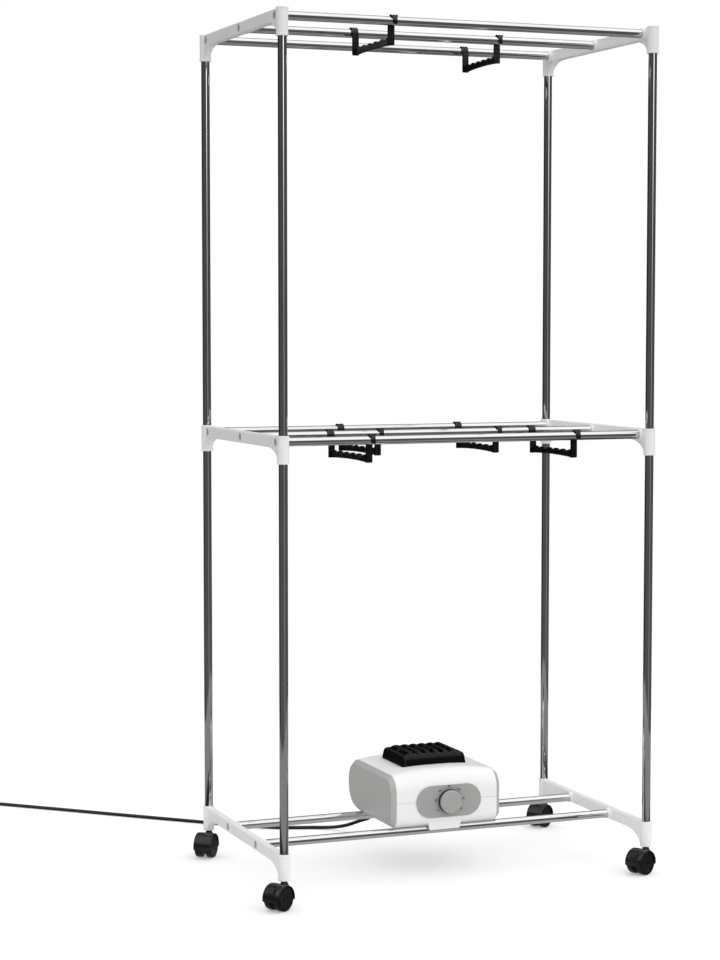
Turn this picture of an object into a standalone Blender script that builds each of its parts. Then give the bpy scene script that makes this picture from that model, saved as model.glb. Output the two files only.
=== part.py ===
"""A portable clothes dryer: a two-tier airing rack on castors, with a warm-air heater on its base rails.

Metres, +Z up. +X runs along the rails to the right, +Y to the back, and the castors stand on z = 0.
The origin is under the middle of the stand's outline, the cord left out.
"""
import math

import bmesh
import bpy
from mathutils import Matrix, Vector

# Fits and mesh tolerances
FIT_GAP = 0.0003
MERGE_DISTANCE = 0.000001
OVERRUN = 0.010
SMOOTH_ANGLE = math.radians(35)

# Posts and rails: thin-walled steel tube
POST_SPAN_X = 0.728
POST_SPAN_Y = 0.437
TUBE_RADIUS = 0.008
TUBE_WALL = 0.0008
TUBE_STEPS = 12
CLEAR_POST = 0.695
POST_INSERT = 0.0235
RAIL_INSERT = 0.013
RAIL_INSET = 0.0226
BASE_RAIL_SPACING = 0.1614

# End frames: a beam between two sleeves
SLEEVE_RADIUS = 0.011
SLEEVE_HEIGHT = 0.050
SLEEVE_STEPS = 16
BASE_SLEEVE_LEVEL = 0.048
BASE_SLEEVE_TRIM = 0.0027
BEAM_THICKNESS = 0.0135
BEAM_HEIGHT = 0.022
BEAM_DROP = 0.001
BEAM_EDGE = 0.0025
BEAM_EDGE_STEPS = 2
GUSSET_REACH = 0.055
GUSSET_START = math.radians(8)
GUSSET_STEPS = 5
COLLAR_RADIUS = 0.010
COLLAR_STEPS = 12
COLLAR_LENGTH = 0.006
RECESS_RADIUS = 0.006
RECESS_STEPS = 10
RECESS_DEPTH = 0.0025

# Castors: places in the castor's own frame, X away from the stem, Y along the axle
WHEEL_RADIUS = 0.0225
WHEEL_WIDTH = 0.0126
WHEEL_EDGE = 0.002
WHEEL_STEPS = 16
AXLE_RADIUS = 0.0025
AXLE_STEPS = 8
AXLE_TRAIL = 0.016
WEB_HALF = 0.0042
WEB_GAP = 0.0007
HOOD_RADIUS = 0.025
HOOD_WALL = 0.0016
HOOD_HALF = 0.018
HOOD_LIP_LEVEL = 0.018
HOOD_STEPS = 20
COLUMN_HALF = 0.0066
COLUMN_TOP = 0.0447
NECK_RADIUS = 0.0058
NECK_BASE = 0.0440
STEM_RADIUS = 0.0045
STEM_LENGTH = 0.018
STEM_STEPS = 12
SWIVEL_GAP = 0.0004
CASTOR_TURNS = {
    "front_left": math.radians(212),
    "front_right": math.radians(204),
    "rear_left": math.radians(232),
    "rear_right": math.radians(213),
}
BRAKED_CASTORS = ("front_left", "front_right")

# Brake lever: hinged in the web on a ray from the axle
LEVER_RAY = math.radians(38)
LEVER_PIVOT_REACH = 0.0178
LEVER_HALF = 0.0024
LEVER_STALK = 0.0035
LEVER_EYE_RADIUS = 0.0026
LEVER_PIN_RADIUS = 0.0013
LEVER_PIN_HALF = 0.0036
PEDAL_HALF = 0.0065
PEDAL_LENGTH = 0.011
PEDAL_THICKNESS = 0.0022
PEDAL_GAP = 0.0008
SLOT_HALF_HEIGHT = 0.0045

# Hangers: hooks over two neighbouring rails, with a notched bar between
HOOK_GAP = 0.001
HOOK_WALL = 0.003
HOOK_WIDTH = 0.012
HOOK_TIP_ANGLE = math.radians(-28)
HOOK_TIP_WIDTH_SHARE = 0.5
HOOK_STEPS = 8
ARM_DROP = 0.0415
ARM_THICKNESS = 0.0045
BAR_WIDTH = 0.005
BAR_HEIGHT = 0.0105
BAR_ARCH = 0.0025
BUMP_RISE = 0.0045
BUMP_COUNT = 6
# One bump from its rear foot to its front: share of the pitch, share of the rise
BUMP_SHARES = ((1, 0), (0.8, 0.75), (0.5, 1), (0.2, 0.75))
# Name, tier, rail pair (front or rear), place along the rails and skew on them
HANGERS = (
    ("hanger_top_front", "top", "front", -0.146, math.radians(0)),
    ("hanger_top_rear", "top", "rear", 0.159, math.radians(-4)),
    ("hanger_middle_front_left", "middle", "front", -0.191, math.radians(2)),
    ("hanger_middle_rear_left", "middle", "rear", -0.095, math.radians(2)),
    ("hanger_middle_rear_right", "middle", "rear", 0.154, math.radians(0)),
    ("hanger_middle_front_right", "middle", "front", 0.223, math.radians(0)),
)

# Heater casing
HEATER_X = 0.006
SHELL_HALF_LENGTH = 0.103
SHELL_WALL = 0.0025
SHELL_HEIGHT = 0.098
SHELL_CROWN = 0.008
CROWN_SHARES = (0, 0.7, 0.95, 1, 0.95, 0.7, 0)
# How far the casing stands out past the middle of its front and its rear rail
FRONT_OVERHANG = 0.0163
BACK_OVERHANG = 0.0553
# Shares of the casing's height: its parting line and its corners' radii
PARTING_SHARE = 0.4898
TOP_FRONT_SHARE = 0.3265
TOP_BACK_SHARE = 0.4286
BOTTOM_BACK_SHARE = 0.4898
BOTTOM_FRONT_SHARE = 0.2041
CORNER_STEPS = 5
COVER_DEPTH = 0.009
COVER_BEVEL = 0.008
COVER_RIM = 0.006
COVER_WALL = 0.002
LIP_HALF_WIDTH = 0.034
LIP_THICKNESS = 0.004
LIP_DROP = 0.0075
# Share of the wall that a lip's root goes into
LIP_ROOT_SHARE = 0.9
INTAKE_SLOTS = 7
INTAKE_PITCH = 0.012
INTAKE_WIDTH = 0.005
INTAKE_LENGTH = 0.070

# Outlet grille and air duct
OUTLET_Y = 0.0165
GRILLE_LENGTH = 0.130
GRILLE_WIDTH = 0.105
GRILLE_CORNER = 0.005
GRILLE_SKIRT = 0.013
DOME_RISE = 0.0128
DOME_INSET = 0.030
DOME_SWEEP = math.radians(75)
GRILLE_WALL = 0.0025
GRILLE_SLOTS = 7
GRILLE_SLOT_WIDTH = 0.0075
GRILLE_SLOT_PITCH = 0.0178
GRILLE_SLOT_LENGTH = 0.040
GRILLE_SPINE = 0.008
DOME_STEPS = 3
OPENING_MARGIN = 0.006
DUCT_WALL = 0.0015
DUCT_FOOT = 0.018
CORNER_FEW_STEPS = 2

# Fan, element and cut-out
BRACKET_THICKNESS = 0.003
BRACKET_ARM = 0.010
BRACKET_FRAME = 0.007
ARM_INSET = 0.0003
LEG_SIZE = 0.008
LEG_INSET = 0.002
MOTOR_RADIUS = 0.019
MOTOR_HEIGHT = 0.022
SHAFT_RADIUS = 0.0016
SHAFT_LENGTH = 0.014
HUB_RADIUS = 0.012
HUB_HEIGHT = 0.012
HUB_LIFT = 0.001
BLADE_RADIUS = 0.0395
BLADE_COUNT = 7
BLADE_THICKNESS = 0.0016
BLADE_CHORD = 0.014
BLADE_PITCH = math.radians(28)
# Share of the room between the impeller and the duct's top that is left below the element
ELEMENT_SHARE = 0.656
ELEMENT_HEIGHT = 0.014
ELEMENT_WIDTH = 0.046
ELEMENT_FINS = 9
FIN_GAP = 0.005
ELEMENT_EDGE = 0.006
CUTOUT_RADIUS = 0.006
CUTOUT_LENGTH = 0.007

# Controls
PANEL_HALF_LENGTH = 0.066
PANEL_HALF_HEIGHT = 0.0305
PANEL_THICKNESS = 0.002
PANEL_X = 0.003
PANEL_DROP = 0.001
SPIGOT_INSET = 0.003
KNOB_RADIUS = 0.023
KNOB_HEIGHT = 0.014
KNOB_EDGE = 0.0015
KNOB_STEPS = 28
SPINDLE_RADIUS = 0.003
SPINDLE_LENGTH = 0.012
TIMER_SIZE = 0.044
TIMER_DEPTH = 0.026

# Cord grip, cord and plug
GRIP_ANGLE = math.radians(-29)
GRIP_X = -0.026
GRIP_RADIUS = 0.007
GRIP_TIP_RADIUS = 0.0046
GRIP_INNER = 0.006
GRIP_COLLAR = 0.004
GRIP_TAPER = 0.026
GRIP_STEPS = 12
CORD_RADIUS = 0.0035
CORD_POINTS = 50
ROUTE_FINE_STEPS = 12
COIL_TURNS_EACH_WAY = 1.5
COIL_OUTER_RADIUS = 0.0435
COIL_SPACING = 0.0006
COIL_LEAD = 0.028
LOOP_POINTS = 24
PLUG_LENGTH = 0.036
PLUG_WIDTH = 0.026
PLUG_TAIL = 0.012
PLUG_BEVEL = 0.0037
PLUG_CORNER_SHARE = 0.7
PIN_RADIUS = 0.0024
PIN_LENGTH = 0.019
PIN_SPACING = 0.019

# The cord's free route from the grip to the coil, in the stand's frame:
# down behind the heater, then over the floor
CORD_ROUTE = (
    (-0.0195, 0.1860, 0.0820),
    (-0.0190, 0.2090, 0.0615),
    (-0.0215, 0.2304, 0.0440),
    (-0.0244, 0.2582, 0.0340),
    (-0.0296, 0.2805, 0.0255),
    (-0.0359, 0.2996, 0.0175),
    (-0.0429, 0.3176, 0.0110),
    (-0.0579, 0.3337, 0.0062),
    (-0.0741, 0.3466, 0.0041),
    (-0.0977, 0.3579, 0.0038),
    (-0.1227, 0.3663, 0.0038),
    (-0.1660, 0.3850, 0.0038),
    (-0.2160, 0.4200, 0.0038),
    (-0.2630, 0.4620, 0.0038),
    (-0.3315, 0.5257, 0.0038),
    (-0.4187, 0.6068, 0.0038),
    (-0.5370, 0.7188, 0.0038),
    (-0.6288, 0.8047, 0.0038),
    (-0.6680, 0.8420, 0.0038),
    (-0.6920, 0.8650, 0.0038),
)

# Colours, roughness and metal share
FINISHES = {
    "chrome": ((0.78, 0.79, 0.80), 0.12, 1.0),
    "white_plastic": ((0.86, 0.86, 0.85), 0.40, 0.0),
    "grey_plastic": ((0.36, 0.36, 0.355), 0.45, 0.0),
    "black_plastic": ((0.015, 0.015, 0.016), 0.45, 0.0),
    "black_gloss": ((0.012, 0.012, 0.013), 0.22, 0.0),
    "cord_black": ((0.02, 0.02, 0.02), 0.55, 0.0),
    "zinc_steel": ((0.60, 0.60, 0.58), 0.35, 1.0),
    "element_metal": ((0.70, 0.70, 0.70), 0.35, 1.0),
    "inner_plastic": ((0.30, 0.29, 0.27), 0.6, 0.0),
    "brass": ((0.75, 0.58, 0.28), 0.25, 1.0),
}

# Sizes and levels worked out from the sizes above
SHELL_FRONT = BASE_RAIL_SPACING / 2 + FRONT_OVERHANG
SHELL_BACK = BASE_RAIL_SPACING / 2 + BACK_OVERHANG
PARTING_HEIGHT = SHELL_HEIGHT * PARTING_SHARE
TOP_FRONT_RADIUS = SHELL_HEIGHT * TOP_FRONT_SHARE
TOP_BACK_RADIUS = SHELL_HEIGHT * TOP_BACK_SHARE
BOTTOM_BACK_RADIUS = SHELL_HEIGHT * BOTTOM_BACK_SHARE
BOTTOM_FRONT_RADIUS = SHELL_HEIGHT * BOTTOM_FRONT_SHARE
PANEL_LEVEL = PARTING_HEIGHT - PANEL_DROP
TIER_HEIGHT = CLEAR_POST + SLEEVE_HEIGHT
SLEEVE_LEVELS = {
    "base": BASE_SLEEVE_LEVEL,
    "middle": BASE_SLEEVE_LEVEL + TIER_HEIGHT,
    "top": BASE_SLEEVE_LEVEL + TIER_HEIGHT * 2,
}
RAIL_DROP = BEAM_DROP + BEAM_HEIGHT / 2
RAIL_LEVELS = {tier: level + SLEEVE_HEIGHT - RAIL_DROP for tier, level in SLEEVE_LEVELS.items()}
OUTER_RAIL_Y = POST_SPAN_Y / 2 - RAIL_INSET
RAIL_PLACES = {
    "base": {"front": -BASE_RAIL_SPACING / 2, "rear": BASE_RAIL_SPACING / 2},
    "middle": {"front": -OUTER_RAIL_Y, "centre": 0, "rear": OUTER_RAIL_Y},
    "top": {"front": -OUTER_RAIL_Y, "centre": 0, "rear": OUTER_RAIL_Y},
}
COLLAR_FACE_X = POST_SPAN_X / 2 - BEAM_THICKNESS / 2 - COLLAR_LENGTH
SHELL_BOTTOM = RAIL_LEVELS["base"] + TUBE_RADIUS + FIT_GAP
PARTING_LEVEL = SHELL_BOTTOM + PARTING_HEIGHT
SHELL_SHOULDER = SHELL_BOTTOM + SHELL_HEIGHT
SHELL_TOP = SHELL_SHOULDER + SHELL_CROWN
OPENING_LENGTH = GRILLE_LENGTH - OPENING_MARGIN * 2
OPENING_WIDTH = GRILLE_WIDTH - OPENING_MARGIN * 2
BRACKET_LEVEL = SHELL_BOTTOM + SHELL_WALL + DUCT_FOOT
BRACKET_TOP = BRACKET_LEVEL + BRACKET_THICKNESS
MOTOR_TOP = BRACKET_TOP + FIT_GAP + MOTOR_HEIGHT
IMPELLER_TOP = MOTOR_TOP + HUB_LIFT + HUB_HEIGHT
DUCT_TOP = SHELL_SHOULDER - SHELL_WALL - FIT_GAP
ELEMENT_LEVEL = IMPELLER_TOP + (DUCT_TOP - IMPELLER_TOP - ELEMENT_HEIGHT) * ELEMENT_SHARE
CORD_LEVEL = CORD_RADIUS + FIT_GAP


def clear_scene():
    for old in list(bpy.data.objects):
        bpy.data.objects.remove(old, do_unlink=True)


def make_finish(name):
    """A Principled material from the table of finishes."""
    colour, roughness, metal = FINISHES[name]
    material = bpy.data.materials.new(name)
    material.use_nodes = True
    shader = material.node_tree.nodes["Principled BSDF"]
    shader.inputs["Base Color"].default_value = (*colour, 1)
    shader.inputs["Roughness"].default_value = roughness
    shader.inputs["Metallic"].default_value = metal
    return material


def finish_of(name):
    return bpy.data.materials.get(name) or make_finish(name)


# Solids: each function below gives a bmesh

def turned(profile, steps, closed=False):
    """A solid turned about Z from (radius, height) points; closed joins the last point to the first."""
    solid = bmesh.new()
    corners = [solid.verts.new((radius, 0, height)) for radius, height in profile]
    pairs = list(zip(corners, corners[1:]))
    if closed:
        pairs.append((corners[-1], corners[0]))
    edges = [solid.edges.new(pair) for pair in pairs]
    bmesh.ops.spin(solid, geom=corners + edges, cent=(0, 0, 0), axis=(0, 0, 1), angle=math.tau, steps=steps,
                   use_merge=True)
    bmesh.ops.remove_doubles(solid, verts=solid.verts, dist=MERGE_DISTANCE)
    bmesh.ops.recalc_face_normals(solid, faces=solid.faces)
    return solid


def rod(radius, low, high, steps):
    """A round rod along Z."""
    return turned([(0, low), (radius, low), (radius, high), (0, high)], steps)


def block(low, high):
    """A box between two corners."""
    solid = bmesh.new()
    bmesh.ops.create_cube(solid, size=1)
    size = [b - a for a, b in zip(low, high)]
    middle = [(a + b) / 2 for a, b in zip(low, high)]
    return placed(solid, Matrix.Translation(middle) @ Matrix.Diagonal((*size, 1)))


def prism(outline, low, high):
    """An outline of (y, z) points, run along X from low to high."""
    solid = bmesh.new()
    face = solid.faces.new([solid.verts.new((low, y, z)) for y, z in outline])
    grown = bmesh.ops.extrude_face_region(solid, geom=[face])
    far = [item for item in grown["geom"] if isinstance(item, bmesh.types.BMVert)]
    bmesh.ops.translate(solid, vec=(high - low, 0, 0), verts=far)
    bmesh.ops.recalc_face_normals(solid, faces=solid.faces)
    return solid


def lofted(loops):
    """A skin over loops of equally many points, closed by a face at each end."""
    solid = bmesh.new()
    rings = [[solid.verts.new(point) for point in loop] for loop in loops]
    for ring, following in zip(rings, rings[1:]):
        for index, corner in enumerate(ring):
            after = (index + 1) % len(ring)
            solid.faces.new((corner, ring[after], following[after], following[index]))
    solid.faces.new(rings[0][::-1])
    solid.faces.new(rings[-1])
    bmesh.ops.recalc_face_normals(solid, faces=solid.faces)
    return solid


def placed(solid, matrix):
    bmesh.ops.transform(solid, matrix=matrix, verts=solid.verts)
    return solid


def moved(solid, x, y, z):
    return placed(solid, Matrix.Translation((x, y, z)))


def laid_along_y(solid):
    """Turns what runs up Z so that it runs along +Y."""
    return placed(solid, Matrix.Rotation(math.radians(-90), 4, "X"))


def laid_along_x(solid):
    """Turns what runs up Z so that it runs along +X."""
    return placed(solid, Matrix.Rotation(math.radians(90), 4, "Y"))


def together(*solids):
    """Several solids that don't touch, as one."""
    whole = bmesh.new()
    for solid in solids:
        mesh = as_mesh(solid)
        whole.from_mesh(mesh)
        bpy.data.meshes.remove(mesh)
    return whole


def as_mesh(solid):
    mesh = bpy.data.meshes.new("solid")
    solid.to_mesh(mesh)
    solid.free()
    return mesh


def carved(base, *steps):
    """The base after each (operation, solid) Boolean step in turn, as a mesh."""
    body = bpy.data.objects.new("base", as_mesh(base))
    bpy.context.collection.objects.link(body)
    tools = []
    for operation, solid in steps:
        tool = bpy.data.objects.new("tool", as_mesh(solid))
        bpy.context.collection.objects.link(tool)
        tools.append(tool)
        modifier = body.modifiers.new(operation, "BOOLEAN")
        modifier.operation = operation
        modifier.solver = "EXACT"
        modifier.object = tool
    shape = body.evaluated_get(bpy.context.evaluated_depsgraph_get())
    result = bmesh.new()
    result.from_mesh(shape.to_mesh())
    shape.to_mesh_clear()
    bmesh.ops.remove_doubles(result, verts=result.verts, dist=MERGE_DISTANCE)
    for used in (body, *tools):
        bpy.data.objects.remove(used, do_unlink=True)
    return as_mesh(result)


def piece(name, mesh, finish, parent, location=(0, 0, 0), rotation=(0, 0, 0)):
    """One part of the object, with its own material."""
    if isinstance(mesh, bmesh.types.BMesh):
        mesh = as_mesh(mesh)
    mesh.shade_smooth()
    mesh.set_sharp_from_angle(angle=SMOOTH_ANGLE)
    mesh.materials.clear()
    mesh.materials.append(finish_of(finish))
    part = bpy.data.objects.new(name, mesh)
    bpy.context.collection.objects.link(part)
    part.parent = parent
    part.location = location
    part.rotation_euler = rotation
    return part


def guide(name, parent, location=(0, 0, 0), turn=0):
    """An empty that carries pieces."""
    empty = bpy.data.objects.new(name, None)
    bpy.context.collection.objects.link(empty)
    empty.parent = parent
    empty.location = location
    empty.rotation_euler = (0, 0, turn)
    return empty


def arc(centre, radius_a, radius_b, start, end, steps):
    """Points along part of an ellipse, its angles counted from the first axis."""
    angles = [start + (end - start) * index / steps for index in range(steps + 1)]
    return [(centre[0] + radius_a * math.cos(a), centre[1] + radius_b * math.sin(a)) for a in angles]


def rounded_outline(low, high, radii, steps):
    """A rectangle with round corners: lower left, lower right, upper right, upper left radius."""
    corners = (
        (low[0] + radii[0], low[1] + radii[0]),
        (high[0] - radii[1], low[1] + radii[1]),
        (high[0] - radii[2], high[1] - radii[2]),
        (low[0] + radii[3], high[1] - radii[3]),
    )
    outline = []
    for index, (centre, radius) in enumerate(zip(corners, radii)):
        start = math.pi + index * math.pi / 2
        outline += arc(centre, radius, radius, start, start + math.pi / 2, steps)
    return outline


# Stand

def tube(length):
    """A tube that runs up Z from 0."""
    bore = TUBE_RADIUS - TUBE_WALL
    ring = [(TUBE_RADIUS, 0), (TUBE_RADIUS, length), (bore, length), (bore, 0)]
    return turned(ring, TUBE_STEPS, closed=True)


def make_posts(stand):
    """Two tubes to a post, which meet inside the middle frame."""
    mesh = as_mesh(tube(CLEAR_POST + POST_INSERT * 2))
    for tier, storey in (("base", "lower"), ("middle", "upper")):
        foot = SLEEVE_LEVELS[tier] + SLEEVE_HEIGHT - POST_INSERT
        for row, y in (("front", -POST_SPAN_Y / 2), ("rear", POST_SPAN_Y / 2)):
            for side, x in (("left", -POST_SPAN_X / 2), ("right", POST_SPAN_X / 2)):
                piece(f"post_{storey}_{row}_{side}", mesh, "chrome", stand, (x, y, foot))


def make_rails(stand):
    half = COLLAR_FACE_X + RAIL_INSERT
    mesh = as_mesh(laid_along_x(tube(half * 2)))
    for tier, places in RAIL_PLACES.items():
        for row, y in places.items():
            piece(f"rail_{tier}_{row}", mesh, "chrome", stand, (-half, y, RAIL_LEVELS[tier]))


def beam_outline():
    """The beam with its two gussets, as (y, z) points from the sleeve's foot up."""
    half = POST_SPAN_Y / 2
    top = SLEEVE_HEIGHT - BEAM_DROP
    centre_y = half - SLEEVE_RADIUS - GUSSET_REACH
    right = arc((centre_y, 0), GUSSET_REACH, top - BEAM_HEIGHT, GUSSET_START, math.pi / 2, GUSSET_STEPS)
    left = [(-y, z) for y, z in reversed(right)]
    foot = right[0][1]
    return [(-half, top), (half, top), (half, foot)] + right + left + [(-half, foot)]


def frame_mesh(tier):
    """A left end frame with its sleeves' feet at 0, the base's a little short; the right one is turned."""
    half = POST_SPAN_Y / 2
    sleeve_foot = BASE_SLEEVE_TRIM if tier == "base" else 0
    beam = prism(beam_outline(), -BEAM_THICKNESS / 2, BEAM_THICKNESS / 2)
    rims = [edge for edge in beam.edges if abs(edge.verts[0].co.x - edge.verts[1].co.x) < MERGE_DISTANCE]
    bmesh.ops.bevel(beam, geom=rims, offset=BEAM_EDGE, offset_type="OFFSET", segments=BEAM_EDGE_STEPS,
                    profile=0.5, affect="EDGES", material=-1)
    rail_z = SLEEVE_HEIGHT - RAIL_DROP
    collar_face = BEAM_THICKNESS / 2 + COLLAR_LENGTH
    added = []
    cuts = []
    socket = TUBE_RADIUS + FIT_GAP
    depth = POST_INSERT + FIT_GAP
    for y in (-half, half):
        added.append(moved(rod(SLEEVE_RADIUS, sleeve_foot, SLEEVE_HEIGHT, SLEEVE_STEPS), 0, y, 0))
        if tier != "top":
            upper = rod(socket, SLEEVE_HEIGHT - depth, SLEEVE_HEIGHT + OVERRUN, TUBE_STEPS)
            cuts.append(moved(upper, 0, y, 0))
        if tier != "base":
            cuts.append(moved(rod(socket, -OVERRUN, depth, TUBE_STEPS), 0, y, 0))
        else:
            bore_top = sleeve_foot + STEM_LENGTH + FIT_GAP
            bore = rod(STEM_RADIUS + SWIVEL_GAP, -OVERRUN, bore_top, STEM_STEPS)
            cuts.append(moved(bore, 0, y, 0))
    for y in RAIL_PLACES[tier].values():
        added.append(moved(laid_along_x(rod(COLLAR_RADIUS, 0, collar_face, COLLAR_STEPS)), 0, y, rail_z))
        inner = collar_face - RAIL_INSERT - FIT_GAP
        cuts.append(moved(laid_along_x(rod(socket, inner, collar_face + OVERRUN, TUBE_STEPS)), 0, y, rail_z))
        recess_floor = RECESS_DEPTH - BEAM_THICKNESS / 2
        recess = rod(RECESS_RADIUS, -BEAM_THICKNESS, recess_floor, RECESS_STEPS)
        cuts.append(moved(laid_along_x(recess), 0, y, rail_z))
    return carved(beam, ("UNION", together(*added)), ("DIFFERENCE", together(*cuts)))


def make_frames(stand):
    for tier, level in SLEEVE_LEVELS.items():
        mesh = frame_mesh(tier)
        for side, x, turn in (("left", -POST_SPAN_X / 2, 0), ("right", POST_SPAN_X / 2, math.pi)):
            piece(f"end_frame_{tier}_{side}", mesh, "white_plastic", stand, (x, 0, level), (0, 0, turn))


# Castors

def lever_pivot():
    """The lever's hinge in the castor's frame, as (x, z)."""
    x = AXLE_TRAIL + LEVER_PIVOT_REACH * math.cos(LEVER_RAY)
    return x, WHEEL_RADIUS + LEVER_PIVOT_REACH * math.sin(LEVER_RAY)


def along_ray(solid):
    """Takes a solid whose X runs out along the lever's ray, with its pivot at 0, into the castor's frame."""
    x, z = lever_pivot()
    return placed(solid, Matrix.Translation((x, 0, z)) @ Matrix.Rotation(-LEVER_RAY, 4, "Y"))


def on_axle(solid):
    """Lays what runs up Z along the axle's line."""
    return moved(laid_along_y(solid), AXLE_TRAIL, 0, WHEEL_RADIUS)


def housing_mesh(braked):
    """Hood, web, neck and stem in one moulding, with the axle pressed in."""
    pocket = HOOD_RADIUS - HOOD_WALL
    outside = HOOD_HALF + OVERRUN
    drum = on_axle(rod(HOOD_RADIUS, -HOOD_HALF, HOOD_HALF, HOOD_STEPS))
    pockets = together(
        on_axle(rod(pocket, -outside, -WEB_HALF, HOOD_STEPS)),
        on_axle(rod(pocket, WEB_HALF, outside, HOOD_STEPS)),
    )
    far = AXLE_TRAIL + HOOD_RADIUS + OVERRUN
    below = block((-HOOD_RADIUS, -outside, -OVERRUN), (far, outside, HOOD_LIP_LEVEL))
    column_y = WEB_HALF - FIT_GAP
    column = block((-COLUMN_HALF, -column_y, HOOD_LIP_LEVEL + FIT_GAP), (COLUMN_HALF, column_y, COLUMN_TOP))
    neck_top = BASE_SLEEVE_LEVEL + BASE_SLEEVE_TRIM - FIT_GAP
    spindle = turned([
        (0, NECK_BASE), (NECK_RADIUS, NECK_BASE), (NECK_RADIUS, neck_top),
        (STEM_RADIUS, neck_top), (STEM_RADIUS, neck_top + STEM_LENGTH), (0, neck_top + STEM_LENGTH),
    ], STEM_STEPS)
    axle_half = WEB_HALF + WEB_GAP + WHEEL_WIDTH
    axle = on_axle(rod(AXLE_RADIUS, -axle_half, axle_half, AXLE_STEPS))
    steps = [("DIFFERENCE", pockets), ("DIFFERENCE", below)]
    if braked:
        reach = HOOD_RADIUS - LEVER_PIVOT_REACH + OVERRUN
        behind = LEVER_EYE_RADIUS + FIT_GAP * 2
        half = LEVER_HALF + FIT_GAP
        slot = block((-behind, -half, -SLOT_HALF_HEIGHT), (reach, half, SLOT_HALF_HEIGHT))
        pin_half = LEVER_PIN_HALF + FIT_GAP
        pin_hole = laid_along_y(rod(LEVER_PIN_RADIUS + FIT_GAP, -pin_half, pin_half, TUBE_STEPS))
        steps += [("DIFFERENCE", along_ray(slot)), ("DIFFERENCE", along_ray(pin_hole))]
    return carved(drum, *steps, ("UNION", column), ("UNION", spindle), ("UNION", axle))


def wheel_mesh():
    """A wheel turned about its axle from its inner face at 0, a flat of its tread down."""
    outer = WHEEL_RADIUS / math.cos(math.pi / WHEEL_STEPS)
    bore = AXLE_RADIUS + FIT_GAP
    wheel = turned([
        (bore, 0), (outer, 0), (outer, WHEEL_WIDTH - WHEEL_EDGE), (outer - WHEEL_EDGE, WHEEL_WIDTH),
        (bore, WHEEL_WIDTH),
    ], WHEEL_STEPS, closed=True)
    placed(wheel, Matrix.Rotation(math.pi / WHEEL_STEPS, 4, "Z"))
    return as_mesh(laid_along_y(wheel))


def lever_mesh():
    """Eye, stalk and pedal, with its pivot at 0 and X out along the ray."""
    eye = laid_along_y(rod(LEVER_EYE_RADIUS, -LEVER_HALF, LEVER_HALF, TUBE_STEPS))
    pin = laid_along_y(rod(LEVER_PIN_RADIUS, -LEVER_PIN_HALF, LEVER_PIN_HALF, TUBE_STEPS))
    pedal_low = HOOD_RADIUS - LEVER_PIVOT_REACH + PEDAL_GAP
    pedal_middle = pedal_low + PEDAL_THICKNESS / 2
    half_stalk = LEVER_STALK / 2
    stalk = block((0, -LEVER_HALF, -half_stalk), (pedal_middle, LEVER_HALF, half_stalk))
    half_pedal = PEDAL_LENGTH / 2
    pedal_high = pedal_low + PEDAL_THICKNESS
    pedal = block((pedal_low, -PEDAL_HALF, -half_pedal), (pedal_high, PEDAL_HALF, half_pedal))
    return carved(stalk, ("UNION", eye), ("UNION", pin), ("UNION", pedal))


def make_castors(stand):
    meshes = {False: housing_mesh(False), True: housing_mesh(True)}
    wheel = wheel_mesh()
    lever = lever_mesh()
    inner_face = WEB_HALF + WEB_GAP
    for corner, turn in CASTOR_TURNS.items():
        row, side = corner.split("_")
        x = math.copysign(POST_SPAN_X / 2, -1 if side == "left" else 1)
        y = math.copysign(POST_SPAN_Y / 2, -1 if row == "front" else 1)
        braked = corner in BRAKED_CASTORS
        swivel = guide(f"swivel_{corner}", stand, (x, y, 0), turn)
        piece(f"castor_housing_{corner}", meshes[braked], "black_plastic", swivel)
        for place, y_place, half_turn in (("inner", -inner_face, math.pi), ("outer", inner_face, 0)):
            piece(f"castor_wheel_{corner}_{place}", wheel, "black_plastic", swivel,
                  (AXLE_TRAIL, y_place, WHEEL_RADIUS), (0, 0, half_turn))
        if braked:
            pivot_x, pivot_z = lever_pivot()
            piece(f"brake_lever_{corner}", lever, "black_plastic", swivel,
                  (pivot_x, 0, pivot_z), (0, -LEVER_RAY, 0))


# Hangers

def hook_outline(reach):
    """Hook and arm over the rail at y = reach, as (y, z) points from the rail's middle."""
    centre_z = FIT_GAP - HOOK_GAP
    half_step = (math.pi - HOOK_TIP_ANGLE) / HOOK_STEPS / 2
    bore = (TUBE_RADIUS + HOOK_GAP) / math.cos(half_step)
    outer = bore + HOOK_WALL
    arm_bottom = -ARM_DROP
    arm_outer = reach - bore
    arm_inner = arm_outer - ARM_THICKNESS
    outer_arc = arc((reach, centre_z), outer, outer, HOOK_TIP_ANGLE, math.pi, HOOK_STEPS)
    inner_arc = arc((reach, centre_z), bore, bore, math.pi, HOOK_TIP_ANGLE, HOOK_STEPS)
    return outer_arc + [(arm_inner, centre_z), (arm_inner, arm_bottom), (arm_outer, arm_bottom)] + inner_arc


def hook_solid(reach):
    half = HOOK_WIDTH / 2
    solid = prism(hook_outline(reach), -half, half)
    for corner in solid.verts:
        past = max(0, corner.co.y - reach) / (TUBE_RADIUS + HOOK_GAP + HOOK_WALL)
        if corner.co.z < TUBE_RADIUS:
            corner.co.x *= 1 - (1 - HOOK_TIP_WIDTH_SHARE) * past
    return solid


def bar_outline(half):
    """The bar from arm to arm: a shallow arch below, a row of bumps above."""
    bottom = -ARM_DROP
    valley = bottom + BAR_HEIGHT
    pitch = half * 2 / BUMP_COUNT
    outline = [(half * share, bottom + BAR_ARCH * (1 - share ** 2)) for share in (-1, -0.5, 0, 0.5, 1)]
    for index in reversed(range(BUMP_COUNT)):
        start = -half + index * pitch
        outline += [(start + pitch * share, valley + BUMP_RISE * rise) for share, rise in BUMP_SHARES]
    return outline + [(-half, valley)]


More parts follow.
